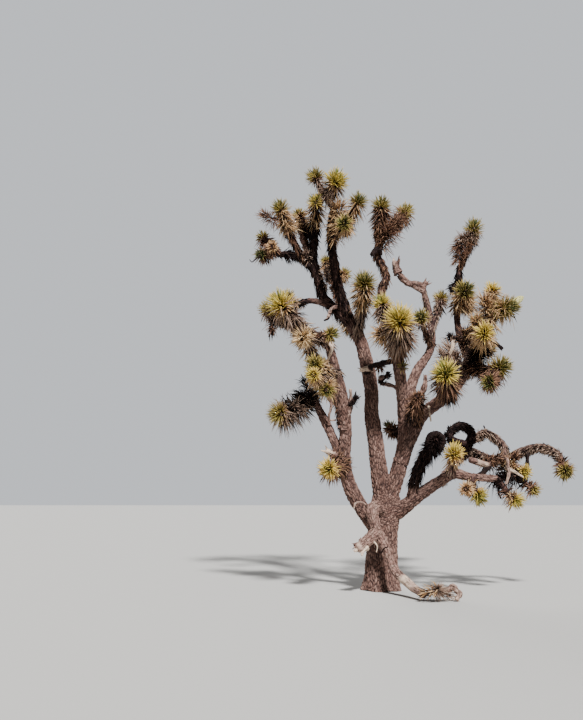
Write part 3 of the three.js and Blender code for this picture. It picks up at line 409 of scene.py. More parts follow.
# Small tufts: the foot and the middle of each, its reach, and its leaves' kind.
Tuft = namedtuple("Tuft", "foot middle reach kind")
TUFTS = rows(Tuft, {
    "left_flop": ((-1.62, 0.24, 5.86), (-1.8, 0.12, 5.9), 0.15, "brown"),
    "left_flop_low": ((-1.5, 0.28, 5.82), (-1.38, 0.24, 5.74), 0.17, "straw"),
    "hanging_leaves": ((-1.63, -0.86, 4.04), (-1.65, -0.88, 3.82), 0.11, "brown"),
    "hanging_leaves_low": ((-1.64, -0.87, 3.9), (-1.66, -0.88, 3.74), 0.07, "dark"),
    "left_dark_tuft": ((-0.98, -0.1, 2.92), (-1.16, -0.18, 3.14), 0.15, "dark"),
    "left_dark_low": ((-1.02, 0.1, 2.88), (-1.24, -0.06, 2.94), 0.17, "dark"),
    "crown_nest": ((1.66, -0.24, 4.05), (1.6, -0.4, 4.34), 0.22, "straw"),
    "crown_nest_low": ((1.5, -0.3, 3.86), (1.44, -0.42, 4.04), 0.19, "straw"),
    "crown_nest_left": ((1.36, -0.06, 3.7), (1.32, -0.26, 3.9), 0.15, "brown"),
    "crown_shade": ((1.42, -0.2, 3.6), (1.58, -0.36, 3.56), 0.19, "dark"),
    "crown_shade_low": ((1.42, -0.3, 3.42), (1.42, -0.5, 3.5), 0.16, "dark"),
    "top_nest": ((-0.7, 0.0, 5.7), (-0.6, -0.22, 5.9), 0.22, "straw"),
    "top_nest_low": ((-0.68, 0.0, 5.5), (-0.56, -0.22, 5.66), 0.2, "straw"),
    "tall_nest": ((0.12, 0.5, 5.45), (0.24, 0.45, 5.76), 0.21, "brown"),
    "tall_nest_high": ((0.2, 0.5, 5.6), (0.36, 0.5, 5.92), 0.19, "brown"),
    "centre_skirt_left": ((0.05, -0.7, 3.85), (-0.06, -0.92, 3.74), 0.2, "straw"),
    "centre_skirt_right": ((0.26, -0.8, 3.74), (0.3, -1.0, 3.7), 0.2, "brown"),
    "small_sprout": ((0.26, -0.42, 3.26), (0.31, -0.6, 3.32), 0.1, OLIVE),
    "left_sprout": ((-1.0, -0.8, 3.1), (-1.05, -1.02, 3.16), 0.13, YELLOW),
    "cross_fringe": ((0.0, -0.22, 3.4), (0.0, -0.24, 3.33), 0.09, "brown"),
    "right_fringe": ((1.96, 0.0, 1.94), (2.0, -0.12, 1.84), 0.14, "straw"),
    "tangle_nest": ((1.7, 0.1, 1.94), (1.78, -0.14, 1.97), 0.14, "brown"),
    "tangle_nest_low": ((1.6, 0.05, 1.94), (1.68, -0.14, 1.92), 0.12, "brown"),
    "tangle_shade": ((1.66, -0.34, 1.68), (1.8, -0.3, 1.66), 0.17, "dark"),
    "tangle_shade_right": ((1.9, -0.1, 1.86), (2.0, -0.3, 1.68), 0.17, "dark"),
    "tangle_right": ((2.0, 0.1, 1.9), (2.06, -0.1, 2.0), 0.12, "brown"),
    "mast_nest": ((1.42, 0.16, 5.5), (1.31, 0.12, 5.34), 0.16, "brown"),
    "mast_nest_low": ((1.38, 0.18, 5.34), (1.31, 0.14, 5.14), 0.14, "brown"),
    "mast_nest_high": ((1.48, 0.16, 5.6), (1.36, 0.12, 5.48), 0.14, "tan"),
    "mast_side_hair": ((1.28, 0.14, 4.8), (1.2, 0.08, 4.66), 0.12, "dark"),
    "facing_nest_high": ((1.25, -0.28, 3.4), (1.06, -0.26, 3.64), 0.19, "tan"),
    "facing_nest_left": ((1.1, -0.28, 3.2), (0.95, -0.28, 3.56), 0.16, "tan"),
    "upper_left_hair": ((-1.08, 0.54, 5.5), (-1.15, 0.6, 5.82), 0.15, "brown"),
    "fork_hair": ((-0.78, 0.36, 4.85), (-0.8, 0.15, 4.98), 0.12, "tan"),
    "arm_hair": ((-1.06, 0.5, 5.2), (-1.12, 0.38, 5.32), 0.11, "tan"),
    "upper_left_front": ((-0.93, 0.12, 5.9), (-0.98, -0.14, 6.04), 0.14, YELLOW),
    "foot_left_nest": ((-0.56, -0.2, 1.86), (-0.7, -0.44, 1.98), 0.16, "brown"),
    "facing_nest": ((1.2, -0.28, 3.14), (1.06, -0.25, 3.5), 0.2, "tan"),
    "facing_nest_right": ((1.3, -0.25, 3.3), (1.18, -0.22, 3.52), 0.17, "brown"),
    "facing_nest_low": ((1.05, -0.3, 2.98), (0.95, -0.25, 3.32), 0.16, "brown"),
    "hook_hair": ((0.66, -0.6, 2.1), (0.7, -0.72, 2.26), 0.1, "dark"),
    "hook_hair_right": ((0.74, -0.7, 2.2), (0.82, -0.78, 2.16), 0.09, "dark"),
    "mast_knob_tuft": ((1.28, 0.02, 3.86), (1.12, -0.05, 3.84), 0.12, "dark"),
    "left_knob_tuft": ((-0.48, -0.4, 2.78), (-0.39, -0.46, 2.86), 0.07, "dark"),
    "twisted_tuft": ((-0.02, -0.42, 3.1), (0.09, -0.42, 3.19), 0.08, "dark"),
    "fallen_clump": ((0.5, -1.28, 0.16), (0.76, -1.3, 0.1), 0.13, "tan"),
    "fork_drape": ((0.52, -0.62, 2.88), (0.42, -0.6, 2.66), 0.15, "brown"),
    "fork_drape_low": ((0.46, -0.6, 2.74), (0.4, -0.56, 2.54), 0.13, "dark"),
})
# A limb's or a stem's tone along its length: from 0, black, to 1, the palest.
# Low tones are partly painted shade: the dark shaggy boughs, the stems, the upper ends of the boughs
# and the curl below 0 stand for limbs in the crown's shadow as well as for their dark old bark.
TONES = {
    GREY: ((0, 1), (1, 1)), SHAGGY: ((0, 0.15, 1), (0.6, 0.12, 0.12)),
    "left_bough": ((0, 0.85, 1), (1, 1, 0.4)), "middle_bough": ((0, 0.85, 0.97), (1, 0.95, 0.2)),
    "centre_bough": ((0, 0.85, 1), (1, 1, 0.3)), "right_bough": ((0, 0.8, 1), (1, 1, 0.3)),
    "tall_bough": ((0, 0.6, 0.78), (1, 1, 0.1)), "short_arm": ((0, 0.3, 0.45, 0.6), (0, 0.6, 0.6, 0)),
    "inner_right_bough": ((0, 0.7, 0.95), (1, 0.9, 0.5)),
    "tangle_bough": ((0, 1), (0.6, 0.45)), "arch_bough": ((0, 1), (0.5, 0.5)),
    "far_right_bough": ((0, 1), (0.5, 0.5)), "curl_bough": ((0, 1), (-0.3, -0.3)),
    "fallen_bough": ((0, 0.7, 0.76, 0.84, 1), (0.54, 0.54, 0.92, 0.82, 0.6)),
    "fallen_stub": ((0, 0.85, 1), (0.54, 0.58, 0.8)),
    "broken_bough": ((0, 0.5, 0.62, 0.82, 0.92), (0.5, 0.5, 0.85, 0.85, 0.45)),
    "dead_bough": ((0, 0.2, 0.4, 0.6, 0.8, 1), (0.5, 0.75, 0.45, 0.8, 0.5, 0.7)),
    "saddle_head": ((0, 0.7, 1), (1, 0.9, 0.5)),
    "shaggy_bough": ((0, 0.25, 0.4), (0.9, 0.75, 0)),
}
STEM_TONES = ((0, 0.4, 1), (0.35, 0.15, 0.1))

# A leaf's rings from foot to tip: how far along, half its width and its keel's depth.
STIFF = ((0, 0.7, 0.45), (0.45, 1, 0.4), (0.8, 0.55, 0.3))
LIMP = ((0, 0.8, 0.4), (0.35, 1, 0.3), (0.72, 0.6, 0.25))
BROAD = ((0, 1, 0.15), (0.5, 1.3, 0.2), (0.85, 0.8, 0.15))
# Each kind of leaf: its material and rings, the colours of its base, of young leaves, of dry ones
# and of the tips, where along a leaf the tip's starts, and its roughness and gloss.
# A leaf's dark base is painted shade where the leaves crowd together at their stem.
LeafKind = namedtuple("LeafKind", "material rings base young dry tip tip_from roughness gloss")
LEAF_KINDS = rows(LeafKind, {
    YELLOW: ("Yellow leaves", STIFF, (0.08, 0.08, 0.015), (0.17, 0.21, 0.04), (0.97, 0.63, 0.17),
             (0.84, 0.6, 0.19), 0.72, 0.45, 0.4),
    OLIVE: ("Olive leaves", STIFF, (0.05, 0.055, 0.015), (0.08, 0.1, 0.025), (0.62, 0.42, 0.16),
            (0.56, 0.4, 0.17), 0.72, 0.45, 0.4),
    "straw": ("Straw leaves", LIMP, (0.1, 0.045, 0.028), (0.14, 0.065, 0.04), (0.92, 0.67, 0.38),
              (0.8, 0.53, 0.27), 0.4, 0.5, 0.25),
    "tan": ("Tan leaves", LIMP, (0.06, 0.032, 0.025), (0.09, 0.048, 0.036), (0.6, 0.44, 0.34),
            (0.54, 0.38, 0.28), 0.45, 0.55, 0.2),
    "brown": ("Brown leaves", LIMP, (0.035, 0.014, 0.01), (0.03, 0.013, 0.01), (0.46, 0.26, 0.15),
              (0.4, 0.22, 0.13), 0.5, 0.55, 0.2),
    # The dark kind is near black: partly the leaves' own colour and partly painted shade for thatch and
    # tufts in the crown's shadow.
    "dark": ("Dark leaves", LIMP, (0.004, 0.003, 0.004), (0.004, 0.003, 0.004),
             (0.06, 0.037, 0.028), (0.03, 0.018, 0.015), 0.5, 0.75, 0.05),
})

# Colours of the bark in shade, the dead wood, the bud and the room.
SHADED_PLATE, BLACK = (0.03, 0.017, 0.015), (0, 0, 0)
# The blackest dead wood colour is mostly painted shade, and the cracks' colour also paints shade into
# the hollows.
SHADED_DEAD_WOOD, CRACKS_AND_SHADE = (0.01, 0.006, 0.006), (0.022, 0.012, 0.01)
DEAD_BARK, BARE_WOOD, BLEACHED_WOOD = (0.25, 0.146, 0.118), (0.4, 0.272, 0.218), (0.7, 0.54, 0.41)
BUD_FOOT, BUD_SCALE, BUD_EDGE = (0.34, 0.33, 0.1), (0.66, 0.62, 0.3), (0.7, 0.58, 0.33)
FLOOR_COLOUR, ROOM_COLOUR = (0.46, 0.45, 0.43, 1), (0.84, 0.87, 0.92, 1)
# Straight down, and the least length that a vector is divided by.
DOWN = np.array([0, 0, -1])
TINY = 1e-9
# How far along a line, as a share of it, its direction is read to each side.
NUDGE = 0.01
# A line that runs this much along Y takes its first crossing direction from X.
MOSTLY_Y = 0.9
# How finely a limb, a snag and a stem are drawn between their knots.
LIMB_STEPS, SNAG_STEPS, STEM_STEPS = 40, 12, 41
# A line's end direction is read from here on, as a share of it.
END_FROM = 0.9


def unit(vectors):
    """The vectors at length one."""
    return vectors / np.maximum(np.linalg.norm(vectors, axis=-1, keepdims=True), TINY)


def lerp(a, b, share):
    """The value at this share of the way from a to b."""
    return a + (b - a) * share


def around(turn, right, up):
    """The directions at these turns about a line."""
    return np.cos(turn)[:, None] * right + np.sin(turn)[:, None] * up


def spiral(count):
    """Turns by the golden angle, which never line up."""
    return np.arange(count) * math.pi * (3 - math.sqrt(5))


class Line:
    """A limb's or stem's centre line, read by its share of the whole length."""

    def __init__(self, points, foot, tip, trunk=False):
        self.points = np.array(points, float)
        steps = np.linalg.norm(np.diff(self.points, axis=0), axis=1)
        self.run = np.concatenate([[0], np.cumsum(steps)])
        self.length = self.run[-1]
        self.foot, self.tip, self.trunk = foot, tip, trunk

    def at(self, share):
        """The points at these shares of the length."""
        run = np.asarray(share) * self.length
        return np.stack([np.interp(run, self.run, self.points[:, i]) for i in range(3)], -1)

    def along(self, share):
        """The directions at these shares."""
        share = np.asarray(share, float)
        ahead, behind = np.minimum(share + NUDGE, 1), np.maximum(share - NUDGE, 0)
        return unit(self.at(ahead) - self.at(behind))

    def radius(self, share):
        """The radius at these shares, with the trunk's flare or the limb's collar at the foot."""
        share = np.asarray(share, float)
        if self.trunk:
            swell = FLARE * np.exp(-share / FLARE_SHARE)
        else:
            swell = COLLAR * np.exp(-share / COLLAR_SHARE)
        return lerp(self.foot, self.tip, share) * (1 + swell)

    def frames(self, shares):
        """Points, directions and two crossing directions that don't twist along the line."""
        points, ways = self.at(shares), self.along(shares)
        start = np.cross(ways[0], (0, 1, 0) if abs(ways[0][1]) < MOSTLY_Y else (1, 0, 0))
        sides = [unit(start)]
        for way in ways[1:]:
            sides.append(unit(sides[-1] - way * np.dot(sides[-1], way)))
        sides = np.array(sides)
        return points, ways, sides, np.cross(ways, sides)


def smooth_line(knots, steps=LIMB_STEPS):
    """A curve through all the knots, as the source draws a limb."""
    knots = np.array(knots, float)
    knots = np.vstack([2 * knots[0] - knots[1], knots, 2 * knots[-1] - knots[-2]])
    t = np.linspace(0, 1, steps, endpoint=False)[:, None]
    spans = []
    for a, b, c, d in zip(knots, knots[1:], knots[2:], knots[3:]):
        spans.append(0.5 * (
            2 * b + (c - a) * t + (2 * a - 5 * b + 4 * c - d) * t**2 + (3 * b - 3 * c + d - a) * t**3))
    return np.vstack(spans + [knots[-2:-1]])


def stem_line(start, end, foot, tip):
    """A stem that sags a little from its bough to the middle of its head."""
    middle = (start + end) / 2 - np.array([0, 0, STEM_SAG * np.linalg.norm(end - start)])
    t = np.linspace(0, 1, STEM_STEPS)[:, None]
    return Line((1 - t)**2 * start + 2 * t * (1 - t) * middle + t**2 * end, foot, tip)


def grow():
    """All the limbs, and the stems of each mass in the order of its heads."""
    limbs, stems = {}, {}
    for name, limb in LIMBS.items():
        start = limbs[limb.parent].at(limb.at) if limb.parent else (0, 0, 0)
        limbs[name] = Line(smooth_line([start, *limb.course]), limb.foot, limb.tip, limb.parent is None)
    for name, mass in MASSES.items():
        bough, stems[name] = limbs[mass.bough], []
        for *middle, _ in mass.heads:
            if stems[name]:
                start, foot = stems[name][0].at(STEM_LEAVES_STEM_AT), STEM_CORE
            else:
                start = bough.at(mass.at)
                foot = min(STEM_SHARE * float(bough.radius(mass.at)), THICKEST_STEM)
            stems[name].append(stem_line(start, np.array(middle), foot, STEM_CORE))
    return limbs, stems


LINES, STEMS = grow()
HEADS = np.array([head for mass in MASSES.values() for head in mass.heads])
HEAD_MASS = np.array([i for i, mass in enumerate(MASSES.values()) for _ in mass.heads])

# The seeds of the random draws.
SNAG_SEED, HEAD_SEED, BOUGH_SEED, TUFT_SEED = 5, 7, 11, 13
# The factors and shifts that scatter a cell's whole numbers, and the bits of the result to keep.
CELL_FACTORS, SEED_FACTOR = (73856093, 19349663, 83492791), 265443576
MIXERS, LAST_SHIFT = ((13, 1274126177), (15, 668265263)), 16
KEPT_BITS = 0xFFFFFF
# Farther than any cell's seam can be, in cells, and the seed step to a cell's own number.
FAR = 9.0
OWN_SEED = 5


def hashed(cells, seed):
    """One number from 0 to 1 for each whole-numbered cell."""
    number = seed * SEED_FACTOR
    for axis, factor in enumerate(CELL_FACTORS):
        number = (cells[..., axis] * factor) ^ number
    for shift, mixer in MIXERS:
        number = (number ^ (number >> shift)) * mixer
    return ((number ^ (number >> LAST_SHIFT)) & KEPT_BITS) / KEPT_BITS


def soft_noise(points, seed):
    """Smooth noise from 0 to 1 with lumps one unit wide."""
    base = np.floor(points).astype(np.int64)
    part = points - base
    part = part * part * (3 - 2 * part)
    total = 0
    for corner in np.ndindex(2, 2, 2):
        weight = np.prod(np.where(corner, part, 1 - part), axis=1)
        total = total + weight * hashed(base + np.array(corner), seed)
    return total


def plates(points, seed):
    """For each point how far it is from the nearest seam between cells, and its cell's number."""
    base = np.floor(points).astype(np.int64)
    near = np.full(len(points), FAR)
    second = near.copy()
    number = np.zeros(len(points))
    for corner in np.ndindex(3, 3, 3):
        cell = base + np.array(corner) - 1
        place = cell + np.stack([hashed(cell, seed + i) for i in range(3)], -1)
        gap = np.linalg.norm(points - place, axis=1)
        closer = gap < near
        second = np.where(closer, near, np.minimum(second, gap))
        number = np.where(closer, hashed(cell, seed + OWN_SEED), number)
        near = np.where(closer, gap, near)
    return second - near, number


# The noises of the materials: how many to a metre, across and along, and how detailed.
GRAIN_SCALE, THREAD_SCALE = (85, 85, 26), (70, 70, 9)
PATCH_SCALE, WEATHER_SCALE = 6, 14
FINE_DETAIL, BROAD_DETAIL, STREAK_DETAIL = 4, 3, 2


class Field:
    """One socket of a material, so that its maths reads as plain sums."""

    def __init__(self, finish, socket):
        self.finish, self.socket = finish, socket

    def _maths(self, operation, first, second):
        return self.finish.add("ShaderNodeMath", {"operation": operation}, {0: first, 1: second})

    def __add__(self, other):
        return self._maths("ADD", self, other)

    def __sub__(self, other):
        return self._maths("SUBTRACT", self, other)

    def __rsub__(self, other):
        return self._maths("SUBTRACT", other, self)

    def __mul__(self, other):
        return self._maths("MULTIPLY", self, other)

    __radd__ = __add__
    __rmul__ = __mul__

    def output(self, number):
        """Another socket of the same node."""
        return Field(self.finish, self.socket.node.outputs[number])


class Finish:
    """A material being mixed from nodes."""

    def __init__(self, name, **constants):
        self.material = bpy.data.materials.new(name)
        self.material.use_nodes = True
        self.tree = self.material.node_tree
        self.shader = self.tree.nodes["Principled BSDF"]
        for socket, value in constants.items():
            self.shader.inputs[socket.replace("_", " ")].default_value = value

    def add(self, kind, settings=None, values=None, output=0):
        """A node of this kind: its settings first, then its sockets' values or links."""
        node = self.tree.nodes.new(kind)
        for name, value in (settings or {}).items():
            setattr(node, name, value)
        for name, value in (values or {}).items():
            self.join(node.inputs[name], value)
        return Field(self, node.outputs[output])

    def join(self, socket, value):
        """Links a field to the socket, or sets a plain value on it."""
        if isinstance(value, Field):
            self.tree.links.new(value.socket, socket)
        else:
            socket.default_value = value

    def blend(self, factor, low, high):
        """A colour from low to high by the factor."""
        low, high = ((*c, 1) if isinstance(c, tuple) else c for c in (low, high))
        return self.add(
            "ShaderNodeMix", {"data_type": "RGBA", "clamp_factor": True},
            {0: factor, 6: low, 7: high}, output=2)

    def stretch(self, value, low, high):
        """The value from low to high spread over 0 to 1, and held there."""
        return self.add(
            "ShaderNodeMapRange", {"clamp": True}, {"Value": value, "From Min": low, "From Max": high})

    def number(self, name):
        """The mesh's own number of this name."""
        return self.add("ShaderNodeAttribute", {"attribute_name": name}, output=2)

    def vector(self, name):
        """The mesh's own vector of this name."""
        return self.add("ShaderNodeAttribute", {"attribute_name": name}, output=1)

    def noise(self, place, scale, detail):
        """Noise at the place, of one scale or of one for each way."""
        if isinstance(scale, tuple):
            place = self.add("ShaderNodeVectorMath", {"operation": "MULTIPLY"}, {0: place, 1: scale})
            scale = 1
        return self.add(
            "ShaderNodeTexNoise", None, {"Vector": place, "Scale": scale, "Detail": detail})

    def bump(self, height, strength, distance):
        """Fine relief on the shader."""
        normal = self.add("ShaderNodeBump", None, {
            "Strength": strength, "Distance": distance, "Height": height})
        self.join(self.shader.inputs["Normal"], normal)

    def paint(self, colour, roughness):
        """The finished material in this colour and roughness."""
        self.join(self.shader.inputs["Base Color"], colour)
        self.join(self.shader.inputs["Roughness"], roughness)
        return self.material


def bark_finish(name, plate, pale, furrow):
    """Corky plates with dark furrows between them, each plate in its own colour by their tone; low
    tones and the furrows carry painted shade.
    """
    finish = Finish(name, Specular_IOR_Level=0.12)
    run, height = finish.vector("run"), finish.number("height")
    own = finish.number("plate")
    grain = finish.noise(run, GRAIN_SCALE, FINE_DETAIL)
    patches = finish.noise(run, PATCH_SCALE, BROAD_DETAIL)
    tone = finish.number("tone") + (patches - 0.5) * 0.5
    sunned = finish.blend(finish.stretch(own * 0.5 + patches * 0.9, 0.4, 0.95), plate, pale)
    # At low tones the plates turn, plate by plate, to the colour of bark in shade: painted shade on
    # limbs that lie in the crown's shadow.
    browned = finish.stretch(own, 0.3, 0.95) * finish.stretch(tone, -0.4, -0.1)
    plates_in_shade = finish.blend(browned, SHADED_PLATE, plate)
    shade = finish.blend(finish.stretch(tone, 0.1, 0.85), plates_in_shade, sunned)
    grained = finish.blend(0.55, shade, furrow)
    shade = finish.blend(finish.stretch(grain, 0.35, 0.7), grained, shade)
    # Where the skin lies lowest the colour turns to the furrows': their own dark bark with painted
    # shade in the hollows.
    colour = finish.blend(finish.stretch(height, 0.1, 0.6), furrow, shade)
    finish.bump(grain, strength=0.7, distance=0.008)
    return finish.paint(colour, 0.95 - 0.15 * height)


def dead_wood_finish(name):
    """Dead limbs by their tone: black at the lowest, mostly painted shade, then bark, then bare
    bleached wood; the hollows darkened as painted shade.
    """
    finish = Finish(name, Specular_IOR_Level=0.08)
    run, height = finish.vector("run"), finish.number("height")
    threads = finish.noise(run, THREAD_SCALE, FINE_DETAIL)
    weather = finish.noise(run, WEATHER_SCALE, BROAD_DETAIL)
    tone = finish.number("tone") + (weather - 0.5) * 0.8
    # The lowest tones are black: mostly painted shade on dead wood that lies in shadow.
    colour = finish.blend(finish.stretch(tone, 0.15, 0.45), SHADED_DEAD_WOOD, DEAD_BARK)
    colour = finish.blend(finish.stretch(tone, 0.5, 0.75), colour, BARE_WOOD)
    colour = finish.blend(finish.stretch(tone, 0.78, 1.0), colour, BLEACHED_WOOD)
    colour = finish.blend(finish.stretch(threads, 0.28, 0.52), CRACKS_AND_SHADE, colour)
    # Darker where the skin lies lowest: painted shade in the hollows, with the wood's own cracks.
    colour = finish.blend(finish.stretch(height, 0.1, 0.5), CRACKS_AND_SHADE, colour)
    finish.bump(threads, strength=0.5, distance=0.006)
    return finish.paint(colour, 0.6 + 0.3 * threads)


def leaf_finish(kind, body):
    """A dagger leaf: a young one dark, an older one in its full colour, the oldest dry."""
    finish = Finish(kind.material, Specular_IOR_Level=kind.gloss)
    along = finish.add("ShaderNodeSeparateXYZ", None, {0: finish.vector("leaf")})
    own, age = along.output(1), along.output(2)
    streaks = finish.noise(finish.vector("streak"), 1, STREAK_DETAIL)
    age = age + (own - 0.5) * 0.75
    colour = finish.blend(finish.stretch(age, 0.0, 0.5), kind.young, body)
    colour = finish.blend(finish.stretch(age, 0.7, 1.15), colour, kind.dry)
    # Each leaf darkens towards its foot: painted shade in the middle of a head and under the thatch.
    colour = finish.blend(finish.stretch(along, 0.3, 0.0), colour, kind.base)
    colour = finish.blend(finish.stretch(along, kind.tip_from, 1.0), colour, kind.tip)
    shade = finish.blend(0.5, colour, BLACK)
    colour = finish.blend(finish.stretch(streaks, 0.3, 0.7), shade, colour)
    return finish.paint(colour, kind.roughness + 0.25 * streaks)


def bud_finish(name):
    """The flower bud's overlapping scales: cream, greener at the foot, browned at their edges."""
    finish = Finish(name, Specular_IOR_Level=0.4)
    along = finish.add("ShaderNodeSeparateXYZ", None, {0: finish.vector("leaf")})
    veins = finish.noise(finish.vector("streak"), 1, STREAK_DETAIL)
    colour = finish.blend(finish.stretch(along, 0.0, 0.5), BUD_FOOT, BUD_SCALE)
    colour = finish.blend(finish.stretch(along, 0.8, 1.0), colour, BUD_EDGE)
    colour = finish.blend(finish.stretch(veins, 0.35, 0.65), BUD_FOOT, colour)
    return finish.paint(colour, 0.4 + 0.3 * veins)


def put(mesh, name, slot, nodes, material):
    """The mesh as a finished piece that stands for these nodes."""
    piece = bpy.data.objects.new(name, mesh)
    bpy.context.scene.collection.objects.link(piece)
    mesh.materials.append(material)
    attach(piece, BODY)
    if nodes:
        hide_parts(*nodes)


def mesh_of(name, points, triangles):
    """A mesh from an array of points and one of triangles."""
    mesh = bpy.data.meshes.new(name)
    mesh.vertices.add(len(points))
    mesh.vertices.foreach_set("co", np.ascontiguousarray(points, np.float32).ravel())
    mesh.loops.add(triangles.size)
    mesh.loops.foreach_set("vertex_index", np.ascontiguousarray(triangles, np.int32).ravel())
    mesh.polygons.add(len(triangles))
    mesh.polygons.foreach_set("loop_start", np.arange(0, triangles.size, 3, dtype=np.int32))
    mesh.update(calc_edges=True)
    return mesh


def give(mesh, name, values):
    """An attribute of the mesh's points: numbers or vectors."""
    kind, key = ("FLOAT", "value") if values.ndim == 1 else ("FLOAT_VECTOR", "vector")
    held = mesh.attributes.new(name, kind, "POINT")
    held.data.foreach_set(key, np.ascontiguousarray(values, np.float32).ravel())


def vectors_of(held, key):
    """The vectors that a mesh holds under this key, as an array."""
    values = np.empty(len(held) * 3, np.float32)
    held.foreach_get(key, values)
    return values.reshape(-1, 3).astype(float)


# How a limb's tube is drawn: its fewest rings, and past its tip how far each closing ring lies, in
# radii, and how wide it is.
FEWEST_RINGS, ROUNDED_TIP = 4, ((0.35, 0.85), (0.6, 0.5))
LIMB_SPACING, LIMB_SIDES = 0.06, 20
SNAG_SPACING, SNAG_SIDES = 0.01, 12


def place_among(count, face):
    """The face's place in a fixed order, by its first and last point of so many."""
    numbers = [point.index for point in face.verts]
    return min(numbers) * count + max(numbers)


def tube(line, spacing, sides):
    """A limb drawn ring by ring: a circle extruded from station to station, closed at both ends."""
    count = max(FEWEST_RINGS, math.ceil(line.length / spacing))
    shares = np.linspace(0, 1, count + 1)
    points, ways, right, up = line.frames(shares)
    radii = line.radius(shares)
    stations = list(zip(points, radii))
    for reach, share in ROUNDED_TIP:
        stations.append((points[-1] + ways[-1] * radii[-1] * reach, radii[-1] * share))
    mould = bmesh.new()
    bmesh.ops.create_circle(mould, cap_ends=True, segments=sides, radius=1)
    ring, edges, last = list(mould.verts), list(mould.edges), Matrix()
    for i, (centre, radius) in enumerate(stations):
        j = min(i, count)
        place = Matrix.Identity(4)
        for column, axis in enumerate((right[j] * radius, up[j] * radius, ways[j])):
            for row in range(3):
                place[row][column] = axis[row]
        place.translation = Vector(centre)
        if i:
            made = bmesh.ops.extrude_edge_only(mould, edges=edges)["geom"]
            ring = [g for g in made if isinstance(g, bmesh.types.BMVert)]
            edges = [g for g in made if isinstance(g, bmesh.types.BMEdge)]
        bmesh.ops.transform(mould, matrix=place @ last.inverted(), verts=ring)
        last = place
    bmesh.ops.holes_fill(mould, edges=edges)
    bmesh.ops.recalc_face_normals(mould, faces=mould.faces)
    # The extrusions make their faces in an order that changes from run to run.
    mould.verts.index_update()
    mould.faces.sort(key=lambda face: place_among(len(mould.verts), face))
    mesh = bpy.data.meshes.new("tube")
    mould.to_mesh(mesh)
    mould.free()
    return mesh


def joined(meshes):
    """One mesh of several, which are used up."""
    whole = bmesh.new()
    for mesh in meshes:
        whole.from_mesh(mesh)
        bpy.data.meshes.remove(mesh)
    mesh = bpy.data.meshes.new("joined")
    whole.to_mesh(mesh)
    whole.free()
    return mesh


# How much one round softens a skin, and the height of the flat cut under the trunk.
SOFTENING, FOOT_CUT = 0.5, 0.001


def skinned(mesh, voxel, rounds):
    """The mesh's outer skin in even faces, its forks softened; the mesh is used up."""
    piece = bpy.data.objects.new("skin", mesh)
    bpy.context.scene.collection.objects.link(piece)
    skin = piece.modifiers.new("Skin", "REMESH")
    skin.mode = "VOXEL"
    skin.voxel_size = voxel
    soften = piece.modifiers.new("Soften", "SMOOTH")
    soften.factor = SOFTENING
    soften.iterations = rounds
    bpy.context.view_layer.update()
    view = bpy.context.evaluated_depsgraph_get()
    made = bpy.data.meshes.new_from_object(piece.evaluated_get(view))
    bpy.data.objects.remove(piece)
    bpy.data.meshes.remove(mesh)
    return made


def cut_level(mesh):
    """Cuts the mesh flat just above the floor and closes it there."""
    body = bmesh.new()
    body.from_mesh(mesh)
    cut = bmesh.ops.bisect_plane(
        body, geom=[*body.verts, *body.edges, *body.faces], plane_co=(0, 0, FOOT_CUT),
        plane_no=(0, 0, 1), clear_inner=True)["geom_cut"]
    bmesh.ops.holes_fill(body, edges=[g for g in cut if isinstance(g, bmesh.types.BMEdge)])
    body.to_mesh(mesh)
    body.free()


def part_of(mesh, keep, name):
    """A copy of the mesh with only the faces to keep."""
    copy = mesh.copy()
    copy.name = name
    cut = bmesh.new()
    cut.from_mesh(copy)
    cut.faces.ensure_lookup_table()
    away = [cut.faces[i] for i in np.nonzero(~keep)[0]]
    bmesh.ops.delete(cut, geom=away, context="FACES")
    cut.to_mesh(copy)
    cut.free()
    return copy


# How close the points are that hold a skin to its lines, and how far each line's pattern is moved
# from the last one's.
HOLD_SPACING, SHIFT_ACROSS, SHIFT_ALONG = 0.02, 3.7, 1.3


def runs(points, lines):
    """For each point: its nearest line, its place along and about it, and the line's radius, share
    and angle there."""
    holds = []
    for number, line in enumerate(lines):
        shares = np.linspace(0, 1, max(3, int(line.length / HOLD_SPACING)))
        centres, ways, right, up = line.frames(shares)
        for i, share in enumerate(shares):
            holds.append((number, share * line.length, centres[i], ways[i], right[i], up[i],
                          float(line.radius(share)), share))
    tree = kdtree.KDTree(len(holds))
    for i, (_, _, centre, *_) in enumerate(holds):
        tree.insert(centre, i)
    tree.balance()
    nearest = np.array([tree.find(p)[1] for p in points])
    number, run, centres, ways, right, up, radius, share = (
        np.array(column)[nearest] for column in zip(*holds))
    offset = points - centres
    across, over = (offset * right).sum(1), (offset * up).sum(1)
    place = np.stack([
        across + number * SHIFT_ACROSS, over,
        run + (offset * ways).sum(1) + number * SHIFT_ALONG], -1)
    return number, place, radius, share, np.arctan2(over, across)


# A skin's relief: the plates' depth, width and stretch, the lumps' height and width, and whether
# its palest wood is bare of bark.
Relief = namedtuple("Relief", "depth cell stretch lumps lump bare", defaults=(0.02, 0.16, False))
# The seams between plates: their width and how they wander, in cells, and the level that stays put.
SEAM, WARP_CELL, WARP, LEVEL = 0.45, 0.6, 0.9, 0.6
FINE_CELL, FINE_SHARE, LUMP_STRETCH = 0.35, 0.25, 0.6
# Wood is bare from this tone on, in full after the span.
BARE_TONE, BARE_SPAN = 0.68, 0.12
# The relief is whole on a limb of this radius, and in proportion between the two shares.
PLATED_RADIUS, PLATE_SHARES = 0.1, (0.15, 1.4)
LUMPED_RADIUS, LUMP_SHARES = 0.06, (0.2, 1)
WARP_SEED, PLATE_SEED, FINE_SEED, LUMP_SEED = 40, 3, 11, 17


